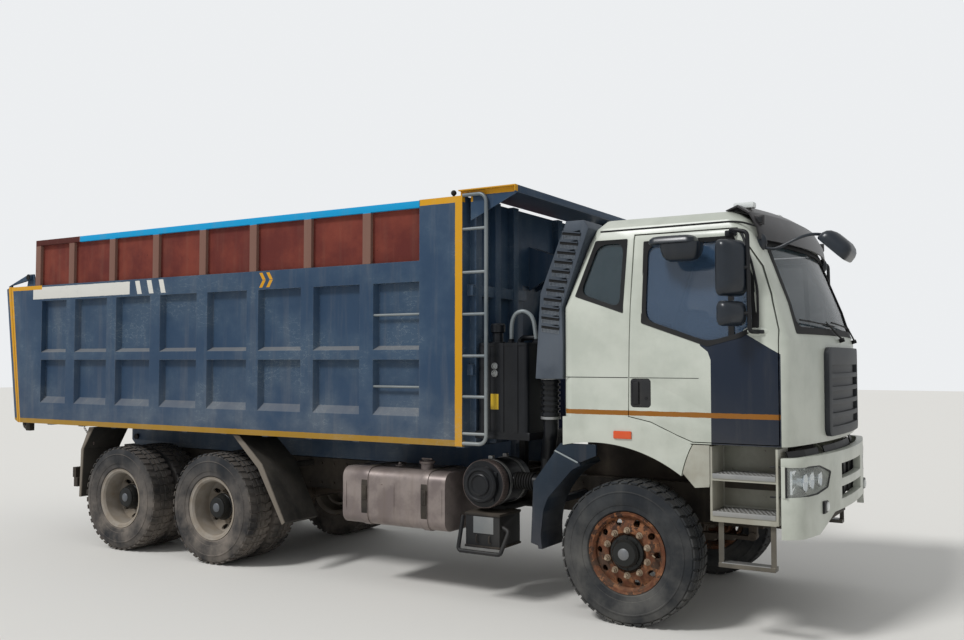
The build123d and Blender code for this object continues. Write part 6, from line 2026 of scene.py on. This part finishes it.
def metal_finishes() -> dict[str, WornFinish]:
    """Describe the bare, cast and polished metals.

    Returns:
        Finishes by a short key.
    """
    # Pressed step steel scuffed bright by boots: a soft metallic grey
    steel = WornFinish("scuffed_step_steel", "8a8d8f", "a0a2a2", dust="83796c", dust_share=0.3,
                       roughness=0.42, metallic=0.75)
    return {
        "bare_steel": steel,
        # The same steel caked with dust, its metal hardly showing
        "dusty_steel": steel.toned("dusty_ribbed_steel", "5d5553", "776c69", dust="8a7a74", dust_share=0.5,
                                   roughness=0.6),
        # Enamelled pipe and bare plate: mid grey, smooth, only slightly metallic
        "grey_pipe": steel.toned("grey_pipe_enamel", "7d8588", "8f9698", metallic=0.2, dust_share=0.15),
        "grey_plate": steel.toned("bare_grey_plate", "6f7375", "7f8385", metallic=0.3),
        # Sand-cast iron soaked in oil: dark brown-grey and rough, with dust stuck to it
        "cast": WornFinish("oily_cast_iron", "24201e", "322b27", dust="7d7163", dust_share=0.42,
                           rust_share=0.05, edge="54483e", roughness=0.6, metallic=0.3),
        # Steel tank whose grey paint has weathered to a chalky grey-pink
        "fuel_tank": WornFinish("weathered_tank_steel", "756b69", "948a86", dust="6f6359", dust_share=0.35,
                                dust_high=1.6, rust="4d382e", rust_share=0.06, roughness=0.4, metallic=0.4,
                                streaks=0.8, fade_size=0.25),
        # Aluminised steel dulled by heat: brownish grey with rust spots
        "muffler": WornFinish("heat_dulled_steel", "5f594f", "6f6659", dust_share=0.35, rust_share=0.1,
                              roughness=0.55, metallic=0.5),
        # Galvanised tube under worn slate paint: a cool grey with a dull gleam
        "ladder": WornFinish("slate_ladder_tube", "6c7478", "83898b", dust_share=0.15, roughness=0.42,
                             metallic=0.4),
        # Hard chrome, ground and polished: bright, with sharp reflections
        "rod": WornFinish("polished_hoist_rod", "c9cacc", "bdbfc2", dust_share=0.05, rust_share=-0.3,
                          roughness=0.16, metallic=1.0, streaks=0.1),
        # Silver behind flat glass: a clean mirror image
        "mirror": WornFinish("silvered_glass", "d4dade", "d4dade", dust_share=0.05, rust_share=-0.3,
                             roughness=0.03, metallic=1.0, grain_depth=0.0),
    }


def moulded_finishes(plan: dict[str, tuple[Patch, ...]]) -> dict[str, WornFinish | ClearFinish]:
    """Describe the rubbers, plastics and glass.

    Args:
        plan: Painted areas by finish.

    Returns:
        Finishes by a short key.
    """
    # Injection-moulded black plastic: satin, with a fine grain and little dust
    black = WornFinish("moulded_black_plastic", "101216", "181b1f", dust="7d7568", dust_share=0.1,
                       rust_share=-0.2, edge="34363a", roughness=0.48, specular=0.28)
    # Vulcanised tyre rubber, blue-black and dull, with dust in the moulded rings
    tyre = WornFinish("dusty_tyre_rubber", "1b1f24", "282d32", dust="7a766f", dust_share=0.42, dust_high=1.25,
                      rust_share=-0.3, edge="55524c", edge_share=0.3, roughness=0.82, grain_size=0.002,
                      fade_size=0.3, streaks=0.15)
    # Moulded acrylic, frosted by its inner prisms: bright and wet-looking
    lamp = WornFinish("frosted_lamp_plastic", "dcdfdc", "cfd3d2", dust_share=0.1, rust_share=-0.3,
                      roughness=0.2, coat=0.5)
    return {
        "black_plastic": black, "tyre": tyre, "white_lens": lamp,
        # The rear tyres, which run through the quarry's dust
        "rear_tyre": replace(tyre, name="quarry_dusted_tyre_rubber", dust="8a8076", dust_share=0.72),
        # Laminated and toughened glass: dark and clear; in the doors bluer and less see-through, a painted
        # reflection of the sky on the tint
        "glass": ClearFinish("tinted_safety_glass", "33444c", 0.5),
        # Bluer and more opaque than the windscreen: a painted sky reflection
        "door_glass": ClearFinish("blue_tinted_door_glass", "3a5069", 0.62),
        # Polycarbonate lens: almost clear, so the bowls show through
        "lens": ClearFinish("clear_lamp_lens", "dfe4df", 0.14),
        "amber_lens": lamp.toned("amber_lamp_plastic", "c8481a", "d45a20"),
        "red_lens": lamp.toned("red_lamp_plastic", "8f1512", "a01e19"),
        # Polished moulding: the same black with a sharp highlight
        "gloss_black": replace(black, name="gloss_black_moulding", roughness=0.24, specular=0.5),
        # Moulded skin of a mirror housing: blue-black, smooth, with a soft sheen
        "mirror_shell": black.toned("blue_black_housing", "121a23", "1a232d", roughness=0.3, specular=0.5,
                                    dust_share=0.12),
        # Moulded front guard behind the wheel, a darker slate than the bed
        "front_guard": black.toned("slate_guard_moulding", "16222e", "22303d", dust_share=0.22, dust="8a7a6c",
                                   dust_low=0.5, dust_high=1.1, roughness=0.4),
        # Rubber and plate that carry the quarry's beige mud on their edges
        "guard": black.toned("muddy_guard_plate", "141517", "1e1f20", dust="7d7569", dust_share=0.22,
                             dust_low=0.9, dust_high=1.4, roughness=0.75, patches=plan["guards"]),
        # Extruded rubber: black and dull
        "rubber": black.toned("window_rubber", "0c0d0f", "131416", roughness=0.65, dust_share=0.06),
        # Unpainted dark grey moulding: a flat, even grey
        "grille": black.toned("dark_grey_moulding", "2b2f34", "363a3f", roughness=0.5, dust_share=0.12),
        # Sun-bleached moulding of the raised intake, paler on its mesh
        "snorkel": black.toned("bleached_intake_moulding", "3d454f", "4c545e", roughness=0.55,
                               dust_share=0.12),
        "mesh": black.toned("bleached_intake_mesh", "5c636b", "6d7379", roughness=0.55),
        # Smoked acrylic: near black with a broad gloss
        "visor": black.toned("smoked_visor_moulding", "242224", "302e30", roughness=0.3, specular=0.5),
        # Grained dashboard and seat trim: soft grey
        "interior": black.toned("grey_cab_trim", "2b2d31", "36383c", dust_share=0.05),
    }


def main() -> None:
    """Build every class in order and report each piece."""
    logging.basicConfig(level=logging.INFO, format="%(name)s: %(message)s")
    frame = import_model()
    low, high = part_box("tyre_front_right")
    front_axle = (low.x + high.x) / 2
    Studio(front_axle).build()
    plan = paint_plan(front_axle)
    finishes = painted_finishes(plan) | metal_finishes() | moulded_finishes(plan)
    shop = Workshop(frame, front_axle, {key: finish.build() for key, finish in finishes.items()}, Repeats())
    for part in (NodeFinishes, Tyres, WheelFittings, CabTrim, Mirrors, FrontTrim, StepTreads, SnorkelTrim,
                 FuelTankTrim, OilTankTrim, AirCleanerTrim, BatteryTrim, BedTrim, ChassisTrim):
        part(shop).build()


if __name__ == "__main__":
    main()
